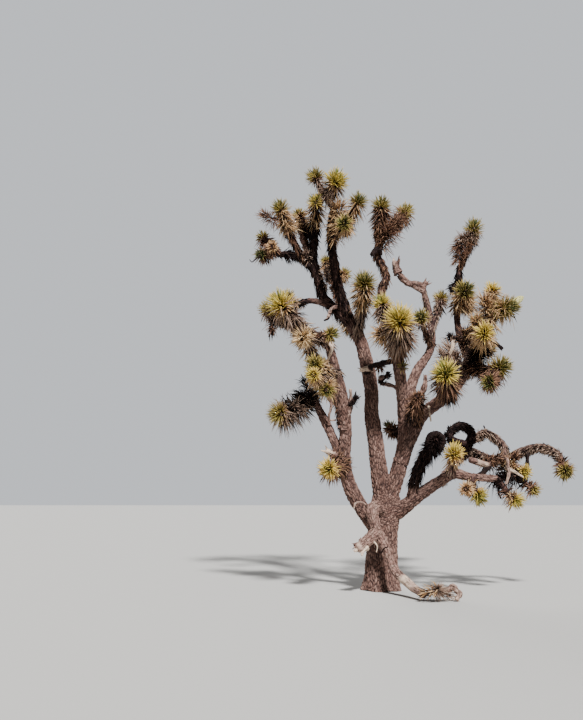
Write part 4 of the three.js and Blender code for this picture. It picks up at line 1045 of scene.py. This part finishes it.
def relief(mesh, lines, tones, shape):
    """Raises plates and lumps on a skin and gives it what its material reads."""
    points = vectors_of(mesh.vertices, "co")
    normals = vectors_of(mesh.vertex_normals, "vector")
    number, place, radius, share, angle = runs(points, lines)
    cells = place / shape.cell * np.array([1, 1, shape.stretch])
    warp = np.stack([soft_noise(cells * WARP_CELL, WARP_SEED + i) for i in range(3)], -1)
    seam, own = plates(cells + WARP * warp, PLATE_SEED)
    fine = FINE_SHARE * soft_noise(place / (shape.cell * FINE_CELL), FINE_SEED)
    height = np.clip((1 - FINE_SHARE) * np.clip(seam / SEAM, 0, 1) + fine, 0, 1)
    tone = np.zeros(len(points))
    for i, (at, value) in enumerate(tones):
        tone = np.where(number == i, np.interp(share, at, value), tone)
    if shape.bare:
        smooth = np.clip((tone - BARE_TONE) / BARE_SPAN, 0, 1)
        height = lerp(height, 1 - FINE_SHARE + fine, smooth)
    swell = soft_noise(place / shape.lump * np.array([1, 1, LUMP_STRETCH]), LUMP_SEED) - 0.5
    rise = shape.depth * np.clip(radius / PLATED_RADIUS, *PLATE_SHARES) * (height - LEVEL)
    rise += shape.lumps * np.clip(radius / LUMPED_RADIUS, *LUMP_SHARES) * swell
    trunk = np.array([line.trunk for line in lines])[number]
    fade = np.clip(1 - share / RIDGE_HEIGHT, 0, 1)
    ridge = RIDGE_DEPTH * radius * np.cos(RIDGES * angle) * fade
    rise = rise + np.where(trunk, ridge, 0)
    points = points + normals * rise[:, None]
    points[:, 2] = np.maximum(points[:, 2], 0)
    mesh.vertices.foreach_set("co", points.astype(np.float32).ravel())
    for name, values in (("run", place), ("height", height), ("plate", own), ("tone", tone)):
        give(mesh, name, values)
    mesh.update()
    return number


def bark_skin(pieces, material, voxel, rounds, shape):
    """The skin of all these pieces' limbs in one, raised, then cut where one piece ends."""
    drawn = []
    for owner, piece in enumerate(pieces):
        for name in BARK_PIECES[piece]:
            finish = LIMBS[name].finish
            drawn.append((LINES[name], TONES.get(name, TONES.get(finish)), owner))
            for mass in MASSES if finish != DEAD else ():
                if MASSES[mass].bough == name:
                    drawn += [(stem, TONES.get(mass, STEM_TONES), owner) for stem in STEMS[mass]]
    lines, tones, owners = zip(*drawn)
    mesh = skinned(joined([tube(line, LIMB_SPACING, LIMB_SIDES) for line in lines]), voxel, rounds)
    if any(line.trunk for line in lines):
        cut_level(mesh)
    number = relief(mesh, lines, tones, shape)
    owner_of = np.array(owners)[number][[face.vertices[0] for face in mesh.polygons]]
    for owner, piece in enumerate(pieces):
        part = mesh if len(pieces) == 1 else part_of(mesh, owner_of == owner, piece)
        limbs = BARK_PIECES[piece]
        put(part, piece, LIMBS[limbs[0]].finish, limbs, material)
    if len(pieces) > 1:
        bpy.data.meshes.remove(mesh)


# A snag's scatter in tip radii, and the radii of a tuft's stem.
SNAG_SCATTER, TUFT_STEM = 0.2, (0.018, 0.012)
# The splinters of a broken end, in its radii: where they start, how far they reach and lean, and
# how thick they are.
SPLINTERS, SPLINTER_BACK, SPLINTER_OUT = 3, 0.6, 0.45
SPLINTER_REACH, SPLINTER_LEAN = (1.4, 3.0), (0.1, 0.8)
SPLINTER_FOOT, SPLINTER_TIP, SPLINTER_STEPS = 0.5, 0.08, 9
SNAG_RELIEF = Relief(depth=0.03, cell=0.025, stretch=0.3, lumps=0.045, lump=0.04, bare=True)


def splinters(random, line):
    """Pointed splinters from a stub's broken end."""
    way, (_, _, right, up) = line.along(1.0), line.frames(np.array([END_FROM, 1.0]))
    for _ in range(SPLINTERS):
        turn = random.uniform(0, 2 * math.pi)
        radial = math.cos(turn) * right[-1] + math.sin(turn) * up[-1]
        foot = line.points[-1] - way * line.tip * SPLINTER_BACK + radial * line.tip * SPLINTER_OUT
        reach = line.tip * random.uniform(*SPLINTER_REACH)
        end = foot + unit(way + radial * random.uniform(*SPLINTER_LEAN)) * reach
        points = np.linspace(foot, end, SPLINTER_STEPS)
        yield Line(points, line.tip * SPLINTER_FOOT, line.tip * SPLINTER_TIP)


def tuft_stem(tuft):
    """The thin stem that carries a tuft."""
    return stem_line(np.array(tuft.foot), np.array(tuft.middle), *TUFT_STEM)


def snags(material):
    """The small dead stubs and twigs, and the stems of the tufts, each from its bough."""
    random = np.random.default_rng(SNAG_SEED)
    lines, tones = [], []
    for tone, foot, tip, course in SNAGS.values():
        knots = np.array(course)
        knots[1:] += random.normal(0, SNAG_SCATTER * tip, knots[1:].shape)
        stub = Line(smooth_line(knots, SNAG_STEPS), foot, tip)
        lines.append(stub)
        tones.append(((0, 1), (tone if tone == PALE_TONE else min(tone, BARK_TONE), tone)))
        if tip >= BLUNT:
            for end in splinters(random, stub):
                lines.append(end)
                tones.append(((0, 1), (tone, tone)))
    for tuft in TUFTS.values():
        lines.append(tuft_stem(tuft))
        tones.append(((0, 1), (DARK_TONE, BARK_TONE)))
    mesh = joined([tube(line, SNAG_SPACING, SNAG_SIDES) for line in lines])
    relief(mesh, lines, tones, SNAG_RELIEF)
    put(mesh, "snags", DEAD, (), material)


# How far a leaf's streaks are drawn out, how unlike two leaves' are, and their shift at its edges.
STREAK_ALONG, STREAK_SPREAD, STREAK_EDGES = 2.5, 97, [0, 3, 1.5]
# The wood's balls stand this close, and no leaf of each sort starts or ends lower than this.
BALL_SPACING = 0.05
LOWEST_LEAF, LOWEST_TUFT, LOWEST_THATCH = 0.004, 0.01, 0.02


class Leaves:
    """Dagger leaves gathered for one kind."""

    def __init__(self, rings):
        self.rings, self.parts = rings, []

    def grow(self, *values, chosen=slice(None)):
        """The chosen daggers: each has two edges and a keel, from its foot to a sharp tip."""
        feet, aims, lengths, tops, widths, bends, own, age = (value[chosen] for value in values)
        if not len(feet):
            return
        right = unit(np.cross(tops, aims))
        keel = -np.cross(aims, right)
        rings = []
        for along, half, deep in self.rings:
            middle = feet + (aims * along * lengths[:, None]) + bends * along**2
            side = right * (half * widths / 2)[:, None]
            rings += [middle - side, middle + side, middle + keel * (deep * widths)[:, None]]
        rings.append(feet + aims * lengths[:, None] + bends)
        points = np.stack(rings, 1)
        points[..., 2] = np.maximum(points[..., 2], LOWEST_LEAF)
        along = [share for share, *_ in self.rings for _ in range(3)] + [1]
        leaf = np.zeros((*points.shape[:2], 3))
        leaf[..., 0] = along
        leaf[..., 1] = own[:, None]
        leaf[..., 2] = age[:, None]
        streak = leaf.copy()
        streak[..., 0] = np.array(along) * STREAK_ALONG
        streak[..., 1] = own[:, None] * STREAK_SPREAD
        streak[..., 2] = np.array(STREAK_EDGES * len(self.rings) + STREAK_EDGES[-1:])
        self.parts.append((points, leaf, streak))

    def faces(self):
        """One leaf's triangles: its foot, its sides ring by ring, and its tip."""
        last = 3 * len(self.rings)
        faces = [(0, 1, 2)]
        for k in range(0, last, 3):
            for p, q in ((0, 1), (1, 2), (2, 0)):
                if k + 3 < last:
                    faces += [(k + q, k + p, k + 3 + p), (k + q, k + 3 + p, k + 3 + q)]
                else:
                    faces.append((k + q, k + p, last))
        return np.array(faces)

    def mesh(self, name, parts):
        """These parts of the leaves as one mesh."""
        points, leaf, streak = (np.concatenate(held) for held in zip(*parts))
        first = np.arange(len(points)) * points.shape[1]
        triangles = self.faces()[None] + first[:, None, None]
        mesh = mesh_of(name, points.reshape(-1, 3), triangles.reshape(-1, 3))
        give(mesh, "leaf", leaf.reshape(-1, 3))
        give(mesh, "streak", streak.reshape(-1, 3))
        return mesh


def balls():
    """Points along every limb with their radii, to keep leaves out of the wood."""
    points, radii = [], []
    for line in LINES.values():
        shares = np.linspace(0, 1, max(2, int(line.length / BALL_SPACING)))
        points.append(line.at(shares))
        radii.append(line.radius(shares))
    return np.concatenate(points), np.concatenate(radii)


WOOD = balls()


def clear_of_wood(points):
    """True for each leaf whose points all stay outside the limbs."""
    free = np.ones(len(points), bool)
    for place in points.transpose(1, 0, 2):
        gap = np.linalg.norm(place[:, None] - WOOD[0][None], axis=2) - WOOD[1][None]
        free &= gap.min(axis=1) > 0
    return free


def own_side(tips, mass):
    """True for each tip that is nearer its own mass's heads than another's."""
    power = ((tips[:, None] - HEADS[None, :, :3])**2).sum(2) - HEADS[None, :, 3]**2
    own = HEAD_MASS == mass
    return power[:, own].min(axis=1) <= power[:, ~own].min(axis=1)


# A head of middle size, and how steeply its count of leaves and their width go with the reach.
MIDDLE_REACH, COUNT_POWER, WIDTH_POWER = 0.165, 1.2, 0.4
# How wide a head and a tuft open.
HEAD_OPENING, TUFT_OPENING = math.radians(124), math.radians(125)
# The scatter of the leaves' angles, and the least one from the head's way.
TILT_SCATTER, TURN_SCATTER, LEAST_TILT, FIRST_TURN = 0.08, 0.12, 0.02, (0, 6)
# The heart that they grow from: its radius, how far it reaches ahead and back, in reaches, and how
# it is drawn out along the stem.
HEART_RADIUS, HEART_AHEAD, HEART_LENGTH, BRUSH_POWER = 0.03, 0.12, 0.4, 1.3
# Their length in reaches, and the shorter ones this near the middle.
LEAF_REACH, MIDMOST, MIDMOST_LENGTH = (0.84, 1.28), 0.35, 0.85
# More leaves where they grow along the stem, and where each is tried for wood, beside its tip.
BRUSH_LEAVES, TRIED_AT = 0.6, 0.6
# How green leaves vary: width, bend, own shade, twist, the edge to the dead ones, and their age.
LEAF_WIDTHS, LEAF_BENDS, LEAF_SHADES, LEAF_TWIST = (0.8, 1.25), (-0.04, 0.08), (0.5, 0.25), 0.12
GREEN_EDGE, GREEN_AGE = 0.07, 0.8
# Dead ones in a head: their length and width beside a green one's, their sag and age.
OLD_LENGTH, OLD_WIDTH, OLD_SAG, OLD_AGES = 0.92, 0.85, (0.1, 0.4), (0.2, 1.2)


def fullness(reach):
    """How many leaves a head of this reach has, beside one of middle size."""
    return (reach / MIDDLE_REACH)**COUNT_POWER


def head_leaves(random, stem, reach, count, widest, brush):
    """A burst's leaves in order of age: where each starts and ends, its age and the head's way."""
    share = (np.arange(count) + 0.5) / count
    polar = np.arccos(1 - share * (1 - math.cos(widest)))
    turn = spiral(count) + random.uniform(*FIRST_TURN)
    polar = np.clip(polar + random.normal(0, TILT_SCATTER, count), LEAST_TILT, math.pi)
    turn = turn + random.normal(0, TURN_SCATTER, count)
    _, ways, right, up = stem.frames(np.array([END_FROM, 1.0]))
    way, radial = ways[-1], around(turn, right[-1], up[-1])
    aims = np.cos(polar)[:, None] * way + np.sin(polar)[:, None] * radial
    centre = stem.points[-1] - way * (reach * brush * share**BRUSH_POWER)[:, None]
    heart = reach * (HEART_AHEAD - HEART_LENGTH * share)
    feet = centre + way * heart[:, None] + radial * HEART_RADIUS
    shorter = np.where(polar < MIDMOST, MIDMOST_LENGTH, 1)
    lengths = reach * random.uniform(*LEAF_REACH, count) * shorter
    return feet, centre + aims * lengths[:, None], share, way


def dress_heads(kinds, sizes):
    """Every head's burst, and the thatch of dead leaves on its stem."""
    for index, (name, mass) in enumerate(MASSES.items()):
        random = np.random.default_rng([HEAD_SEED, index])
        for number, (stem, (*_, reach)) in enumerate(zip(STEMS[name], mass.heads)):
            look = HEAD_LOOKS.get((name, number), USUAL_LOOK)
            count = int(sizes.leaves_per_head * fullness(reach) * (1 + BRUSH_LEAVES * look.brush))
            feet, tips, age, way = head_leaves(random, stem, reach, count, HEAD_OPENING, look.brush)
            free = own_side(tips, index)
            free &= clear_of_wood(np.stack([lerp(feet, tips, TRIED_AT), tips], 1))
            aims = unit(tips - feet)
            lengths = np.linalg.norm(tips - feet, axis=1)
            widths = sizes.leaf_width * random.uniform(*LEAF_WIDTHS, count)
            widths = widths * (reach / MIDDLE_REACH)**WIDTH_POWER
            bends = -DOWN * (lengths * random.uniform(*LEAF_BENDS, count))[:, None]
            own = np.clip(random.normal(*LEAF_SHADES, count), 0, 1)
            tops = unit(np.broadcast_to(way, aims.shape) + random.normal(0, LEAF_TWIST, aims.shape))
            green = free & (age + random.normal(0, GREEN_EDGE, count) < look.green)
            green &= look.green > 0
            if green.any():
                kinds[look.colour or mass.colour].grow(
                    feet, aims, lengths, tops, widths, bends, own, age * GREEN_AGE + look.dry,
                    chosen=green)
            sag = DOWN * (lengths * random.uniform(*OLD_SAG, count))[:, None]
            kinds[look.dead].grow(
                feet, aims, lengths * OLD_LENGTH, tops, widths * OLD_WIDTH, sag, own,
                random.uniform(*OLD_AGES, count), chosen=free & ~green)
            below = STEM_THATCH.get((name, number), STEM_THATCH.get(name, USUAL_THATCH))
            thatch(kinds, random, stem, reach * below.spread, sizes, below.near, below.far,
                   density=below.density)


def dress_boughs(kinds, sizes):
    """The thatch on the shaggy boughs."""
    for index, (name, (kind, start, length, beyond, density)) in enumerate(THATCH.items()):
        random = np.random.default_rng([BOUGH_SEED, index])
        thatch(kinds, random, LINES[name], length, sizes, kind, kind, beyond, density, start)


# Leaves in a tuft of middle size, green or dead.
GREEN_TUFT, DEAD_TUFT = 90, 170
# How far back they grow: a green tuft's in reaches, a dead one's as a share of its stem.
GREEN_BRUSH, DEAD_BRUSH = 0.2, 0.9
# A green tuft's added age, and how a dead one's leaves vary: length, tangle in reaches, and age.
GREEN_TUFT_AGE, DEAD_TUFT_REACH, DEAD_TUFT_TANGLE, DEAD_AGES = 0.2, (0.6, 1.1), 0.25, (0, 1.1)
GREEN_TUFT_SAG, DEAD_TUFT_SAG, TUFT_TWIST, TUFT_WIDTHS = (0, 0.1), (0, 0.4), 0.2, (0.6, 1.0)


def dress_tufts(kinds, sizes):
    """The small tufts, green ones in order and dead ones tangled."""
    for index, tuft in enumerate(TUFTS.values()):
        random = np.random.default_rng([TUFT_SEED, index])
        stem, reach = tuft_stem(tuft), tuft.reach
        fresh = tuft.kind in (YELLOW, OLIVE)
        count = int((GREEN_TUFT if fresh else DEAD_TUFT) * fullness(reach))
        brush = GREEN_BRUSH if fresh else DEAD_BRUSH * stem.length / reach
        feet, tips, age, way = head_leaves(random, stem, reach, count, TUFT_OPENING, brush)
        if fresh:
            age = age + GREEN_TUFT_AGE
        else:
            tips = feet + (tips - feet) * random.uniform(*DEAD_TUFT_REACH, count)[:, None]
            tips = tips + random.normal(0, DEAD_TUFT_TANGLE * reach, tips.shape)
            age = random.uniform(*DEAD_AGES, count)
        free = clear_of_wood(tips[:, None]) & (tips[:, 2] > LOWEST_TUFT)
        lengths = np.linalg.norm(tips - feet, axis=1)
        sags = random.uniform(*(GREEN_TUFT_SAG if fresh else DEAD_TUFT_SAG), count)
        sag = DOWN * (lengths * sags)[:, None]
        sag[:, 2] = np.maximum(sag[:, 2], LOWEST_TUFT - tips[:, 2])
        tops = unit(np.broadcast_to(way, tips.shape) + random.normal(0, TUFT_TWIST, tips.shape))
        widths = sizes.leaf_width * random.uniform(*TUFT_WIDTHS, count)
        kinds[tuft.kind].grow(feet, unit(tips - feet), lengths, tops, widths, sag,
                              random.uniform(0, 1, count), age, chosen=free)


# Thatch: where it ends along a stem, and by the reaches back from its head how wide it opens, in
# degrees, and how long it is, in reaches.
THATCH_END = 0.98
THATCH_OPENING = ((0, 1, 1.9, 2.8), (88, 68, 42, 20))
THATCH_LENGTH = ((0, 1.6, 2.8), (1.2, 1.1, 0.7))
# How its leaves vary: opening, length, droop and scatter, bend, width and twist; and how deep in
# the bark they start, as a share of the limb's radius.
OPENING_SPREAD, OPENINGS = 0.3, (0.1, 1.7)
DEAD_LENGTHS, SHORTEST_DEAD = (0.6, 1.2), 0.08
DEAD_DROOP, DEAD_SCATTER, DEAD_BENDS, DEAD_TWIST = 0.4, 0.2, (0.05, 0.3), 0.35
DEAD_WIDTHS, DEAD_DEPTH = (0.7, 1.3), 0.85
# The nearer kind reaches this far back, in reaches, with this scatter, and these shares are dark.
NEAR_REACHES, NEAR_SCATTER, DARK_NEAR, DARK_FAR = 1.7, 0.3, 0.22, 0.35


def thatch(kinds, random, line, reach, sizes, near, far, beyond=0.0, density=1.0, start=0.0):
    """Dead leaves folded back along a stem or bough, wide below the head and close farther down."""
    count = int(line.length * (THATCH_END - start) * sizes.thatch_per_metre * density)
    share = np.sort(random.uniform(start, THATCH_END, count))
    centres, ways, right, up = line.frames(share)
    back = (1 - share) * line.length + beyond
    radial = around(random.uniform(0, 2 * math.pi, count), right, up)
    opening = np.radians(np.interp(back / reach, *THATCH_OPENING))
    opening = np.clip(opening * random.normal(1, OPENING_SPREAD, count), *OPENINGS)
    lengths = reach * np.interp(back / reach, *THATCH_LENGTH)
    lengths = np.maximum(lengths * random.uniform(*DEAD_LENGTHS, count), SHORTEST_DEAD)
    aims = -ways * np.cos(opening)[:, None] + radial * np.sin(opening)[:, None]
    aims = unit(aims + DOWN * DEAD_DROOP + random.normal(0, DEAD_SCATTER, aims.shape))
    bends = DOWN * (lengths * random.uniform(*DEAD_BENDS, count))[:, None]
    feet = centres + radial * (line.radius(share) * DEAD_DEPTH)[:, None]
    widths = sizes.dead_leaf_width * random.uniform(*DEAD_WIDTHS, count)
    own, age = random.uniform(0, 1, count), random.uniform(*DEAD_AGES, count)
    tops = unit(radial + random.normal(0, DEAD_TWIST, radial.shape))
    above = (feet + aims * lengths[:, None] + bends)[:, 2] > LOWEST_THATCH
    nearer = back + random.normal(0, NEAR_SCATTER * reach, count) < NEAR_REACHES * reach
    dark = random.uniform(0, 1, count) < np.where(nearer, DARK_NEAR, DARK_FAR)
    for chosen, kind in ((nearer & ~dark, near), (~nearer & ~dark, far), (dark, "dark")):
        kinds[kind].grow(feet, aims, lengths, tops, widths, bends, own, age, chosen=chosen & above)


# The flower bud's foot and tip, its radius, and its width along its length.
BUD = ((2.04, -0.39, 4.32), (2.2, -0.4, 4.42))
BUD_RADIUS, BUD_STEPS = 0.053, 30
EGG = ((0, 0.15, 0.35, 0.6, 0.8, 0.93, 1), (0.5, 0.8, 0.98, 0.95, 0.7, 0.4, 0.08))
# Its scales: how many, how far up the last one starts, how long each is as a share of the bud, how
# far in it starts, and its width from the first to the last, in radii.
BUD_SCALES, LAST_SCALE, SCALE_LENGTH, SCALE_DEPTH = 70, 0.8, 0.24, 0.9
SCALE_WIDTHS = ((0, 0.5, 1), (0.9, 0.8, 0.4))


def flower_bud(look):
    """The one flower bud: a closed egg of overlapping scales at the end of its head."""
    line = Line(np.linspace(*np.array(BUD), BUD_STEPS), 1, 1)
    share = (np.arange(BUD_SCALES) + 0.5) / BUD_SCALES
    starts, ends = share * LAST_SCALE, share * LAST_SCALE + SCALE_LENGTH
    centres, _, right, up = line.frames(starts)
    radial = around(spiral(BUD_SCALES), right, up)
    feet = centres + radial * (np.interp(starts, *EGG) * BUD_RADIUS * SCALE_DEPTH)[:, None]
    tips = line.at(np.minimum(ends, 1)) + radial * (np.interp(ends, *EGG) * BUD_RADIUS)[:, None]
    lengths = np.linalg.norm(tips - feet, axis=1)
    widths = BUD_RADIUS * np.interp(share, *SCALE_WIDTHS)
    scales = Leaves(BROAD)
    scales.grow(feet, unit(tips - feet), lengths, -radial, widths, np.zeros_like(feet),
                np.linspace(0, 1, BUD_SCALES), share)
    put(scales.mesh("flower_bud", scales.parts), "flower_bud", YELLOW, (), look)


def share_out(kind, leaves, look):
    """The leaves of one kind as pieces, none too large; the first stands for the kind's masses."""
    nodes = []
    for name, mass in MASSES.items():
        own = STEM_THATCH.get(name, USUAL_THATCH).near if mass.colour == DRY else mass.colour
        if own == kind:
            nodes.append(name)
    per_leaf = len(leaves.faces())
    total = sum(len(points) for points, *_ in leaves.parts) * per_leaf
    most = math.ceil(total / math.ceil(total / MOST_TRIANGLES))
    groups, held = [[]], 0
    for part in leaves.parts:
        if held >= most:
            groups.append([])
            held = 0
        groups[-1].append(part)
        held += len(part[0]) * per_leaf
    for number, group in enumerate(groups, 1):
        name = f"{kind.replace('_leaves', '')}_leaves_{number}"
        slot = kind if kind in (YELLOW, OLIVE) else DRY
        put(leaves.mesh(name, group), name, slot, nodes if number == 1 else (), look)


class TreeSizes(bpy.types.PropertyGroup):
    """Sizes that change how fine the tree is."""

    grey_mesh: FloatProperty(
        name="Grey bark mesh", description="Size of a face on the trunk and the grey boughs",
        default=0.0075, unit="LENGTH")
    shaggy_mesh: FloatProperty(
        name="Shaggy bark mesh", description="Size of a face under the thatch", default=0.013,
        unit="LENGTH")
    furrow: FloatProperty(
        name="Furrow depth", description="How deep the bark's furrows are on a thick limb",
        default=0.016, unit="LENGTH")
    plate: FloatProperty(
        name="Plate width", description="How wide one corky plate is", default=0.027, unit="LENGTH")
    leaf_width: FloatProperty(
        name="Leaf width", description="How wide a green leaf is", default=0.0185, unit="LENGTH")
    dead_leaf_width: FloatProperty(
        name="Dead leaf width", description="How wide a dead leaf is", default=0.018, unit="LENGTH")
    leaves_per_head: IntProperty(
        name="Leaves in a head", description="Leaves in a head of middle size", default=150)
    thatch_per_metre: IntProperty(
        name="Thatch", description="Dead leaves on a metre of stem", default=550)


class TreeColours(bpy.types.PropertyGroup):
    """Plain base colours, which the materials mix."""

    plate: FloatVectorProperty(
        name="Plates", description="The bark's corky plates", subtype="COLOR",
        default=(0.183, 0.098, 0.076))
    pale_plate: FloatVectorProperty(
        name="Pale plates", description="The bark's palest plates", subtype="COLOR",
        default=(0.36, 0.22, 0.175))
    # The furrows' colour is their own dark bark and also painted shade in the hollows.
    furrow: FloatVectorProperty(
        name="Furrows", description="The furrows between the plates", subtype="COLOR",
        default=(0.018, 0.009, 0.009))
    yellow: FloatVectorProperty(
        name="Yellow-green", description="Leaves in full light", subtype="COLOR",
        default=(0.72, 0.55, 0.1))
    olive: FloatVectorProperty(
        name="Olive", description="Leaves in less light", subtype="COLOR",
        default=(0.4, 0.3, 0.065))
    straw: FloatVectorProperty(
        name="Straw", description="Dead leaves below a head", subtype="COLOR",
        default=(0.7, 0.4, 0.19))
    tan: FloatVectorProperty(
        name="Tan", description="Weathered dead leaves along a bough", subtype="COLOR",
        default=(0.39, 0.25, 0.18))
    brown: FloatVectorProperty(
        name="Brown", description="Old dead leaves along a bough", subtype="COLOR",
        default=(0.185, 0.083, 0.052))
    # The dark leaves are partly their own colour and partly painted shade, for thatch and tufts in
    # shadow.
    dark: FloatVectorProperty(
        name="Dark", description="Blackened dead leaves", subtype="COLOR",
        default=(0.014, 0.009, 0.01))


class TREE_OT_bark(bpy.types.Operator):
    """Skin the trunk and boughs in furrowed bark"""

    bl_idname = "tree.bark"
    bl_label = "Bark"

    def execute(self, context):
        sizes, colours = context.scene.tree_sizes, context.scene.tree_colours
        shades = tuple(colours.plate), tuple(colours.pale_plate), tuple(colours.furrow)
        grey, shaggy = bark_finish("Grey bark", *shades), bark_finish("Shaggy bark", *shades)
        dead = dead_wood_finish("Dead wood")
        bark_skin(
            ["trunk_bark", "left_bark", "middle_bark", "centre_bark"], grey,
            voxel=sizes.grey_mesh, rounds=8,
            shape=Relief(depth=sizes.furrow, cell=sizes.plate, stretch=0.3))
        bark_skin(
            ["shaggy_bark_left", "shaggy_bark_right", "shaggy_bark_low"], shaggy,
            voxel=sizes.shaggy_mesh, rounds=3,
            shape=Relief(depth=sizes.furrow, cell=sizes.plate, stretch=0.35, lumps=0.015))
        bark_skin(
            ["dead_wood"], dead, voxel=sizes.grey_mesh, rounds=4,
            shape=Relief(depth=0.012, cell=sizes.plate, stretch=0.4, lumps=0.035, lump=0.1, bare=True))
        snags(dead)
        return {"FINISHED"}


class TREE_OT_leaves(bpy.types.Operator):
    """Grow the heads of dagger leaves and the thatch of dead ones"""

    bl_idname = "tree.leaves"
    bl_label = "Leaves and thatch"

    def execute(self, context):
        sizes, colours = context.scene.tree_sizes, context.scene.tree_colours
        kinds = {name: Leaves(kind.rings) for name, kind in LEAF_KINDS.items()}
        dress_heads(kinds, sizes)
        dress_boughs(kinds, sizes)
        dress_tufts(kinds, sizes)
        flower_bud(bud_finish("Bud"))
        for name, leaves in kinds.items():
            body = tuple(getattr(colours, name.replace("_leaves", "")))
            share_out(name, leaves, leaf_finish(LEAF_KINDS[name], body))
        return {"FINISHED"}


# The stage: the floor's reach, the room's light and how bright it is seen, and each lamp's name,
# turn, height, strength and softness.
FLOOR_SIZE = 60
ROOM_LIGHT, ROOM_SEEN = 0.2, 0.85
LIGHTS = (("Key", 15, 46, 8.0, 6), ("Back", 200, 30, 1.5, 30))
# The camera: the picture's size, the lens and how far eye level lies below the middle, in pixels,
# where it stands, and its sensor in millimetres.
IMAGE = (583, 720)
LENS_PIXELS = 853
EYE_LEVEL_DROP = 127
TILT = math.atan(EYE_LEVEL_DROP / LENS_PIXELS)
EYE_HEIGHT = 1.53
DISTANCE = 13.2
ASIDE = -1.361
SENSOR = 36


class TREE_OT_stage(bpy.types.Operator):
    """Lay the floor, and set the lights and the camera"""

    bl_idname = "tree.stage"
    bl_label = "Stage"

    def execute(self, context):
        scene = context.scene
        self.lay_floor(scene)
        self.light_room(scene)
        self.set_camera(scene)
        return {"FINISHED"}

    def lay_floor(self, scene):
        """The pale floor, which is no part of the tree."""
        sheet = bmesh.new()
        bmesh.ops.create_grid(sheet, x_segments=1, y_segments=1, size=FLOOR_SIZE)
        mesh = bpy.data.meshes.new("floor")
        sheet.to_mesh(mesh)
        sheet.free()
        floor = bpy.data.objects.new("floor", mesh)
        scene.collection.objects.link(floor)
        plain = Finish("Pale floor", Base_Color=FLOOR_COLOUR, Roughness=0.9, Specular_IOR_Level=0.1)
        mesh.materials.append(plain.material)

    def light_room(self, scene):
        """A soft light from all around, brighter to the camera, and the lamps."""
        scene.world = bpy.data.worlds.new("Pale room")
        scene.world.use_nodes = True
        nodes, links = scene.world.node_tree.nodes, scene.world.node_tree.links
        backing = nodes["Background"]
        backing.inputs["Color"].default_value = ROOM_COLOUR
        seen = nodes.new("ShaderNodeLightPath")
        bright = nodes.new("ShaderNodeMapRange")
        bright.inputs["To Min"].default_value = ROOM_LIGHT
        bright.inputs["To Max"].default_value = ROOM_SEEN
        links.new(seen.outputs["Is Camera Ray"], bright.inputs["Value"])
        links.new(bright.outputs["Result"], backing.inputs["Strength"])
        for name, turn, height, strength, softness in LIGHTS:
            light = bpy.data.lights.new(name, "SUN")
            light.energy = strength
            light.angle = math.radians(softness)
            lamp = bpy.data.objects.new(name, light)
            lamp.rotation_euler = (math.radians(90 - height), 0, math.radians(turn))
            scene.collection.objects.link(lamp)

    def set_camera(self, scene):
        """The camera at eye height, tilted up to the tree."""
        lens = bpy.data.cameras.new("Camera")
        lens.sensor_width = SENSOR
        lens.lens = LENS_PIXELS * SENSOR / max(IMAGE)
        camera = bpy.data.objects.new("Camera", lens)
        camera.location = (ASIDE, -DISTANCE, EYE_HEIGHT)
        camera.rotation_euler = (math.pi / 2 + TILT, 0, 0)
        scene.collection.objects.link(camera)
        scene.camera = camera


class TREE_PT_panel(bpy.types.Panel):
    """Lists what dresses the tree."""

    bl_idname = "TREE_PT_panel"
    bl_label = "Joshua tree"
    bl_space_type = "VIEW_3D"
    bl_region_type = "UI"
    bl_category = "Joshua tree"

    def draw(self, context):
        layout = self.layout
        for group in (context.scene.tree_sizes, context.scene.tree_colours):
            for name in group.__annotations__:
                layout.prop(group, name)
        for step in STEPS:
            layout.operator(step.bl_idname)


STEPS = (TREE_OT_bark, TREE_OT_leaves, TREE_OT_stage)
CLASSES = (TreeSizes, TreeColours, *STEPS, TREE_PT_panel)


def register():
    for kind in CLASSES:
        bpy.utils.register_class(kind)
    bpy.types.Scene.tree_sizes = PointerProperty(type=TreeSizes)
    bpy.types.Scene.tree_colours = PointerProperty(type=TreeColours)


def unregister():
    del bpy.types.Scene.tree_colours
    del bpy.types.Scene.tree_sizes
    for kind in reversed(CLASSES):
        bpy.utils.unregister_class(kind)


def main():
    register()
    bpy.ops.tree.bark()
    bpy.ops.tree.leaves()
    bpy.ops.tree.stage()


if __name__ == "__main__":
    main()
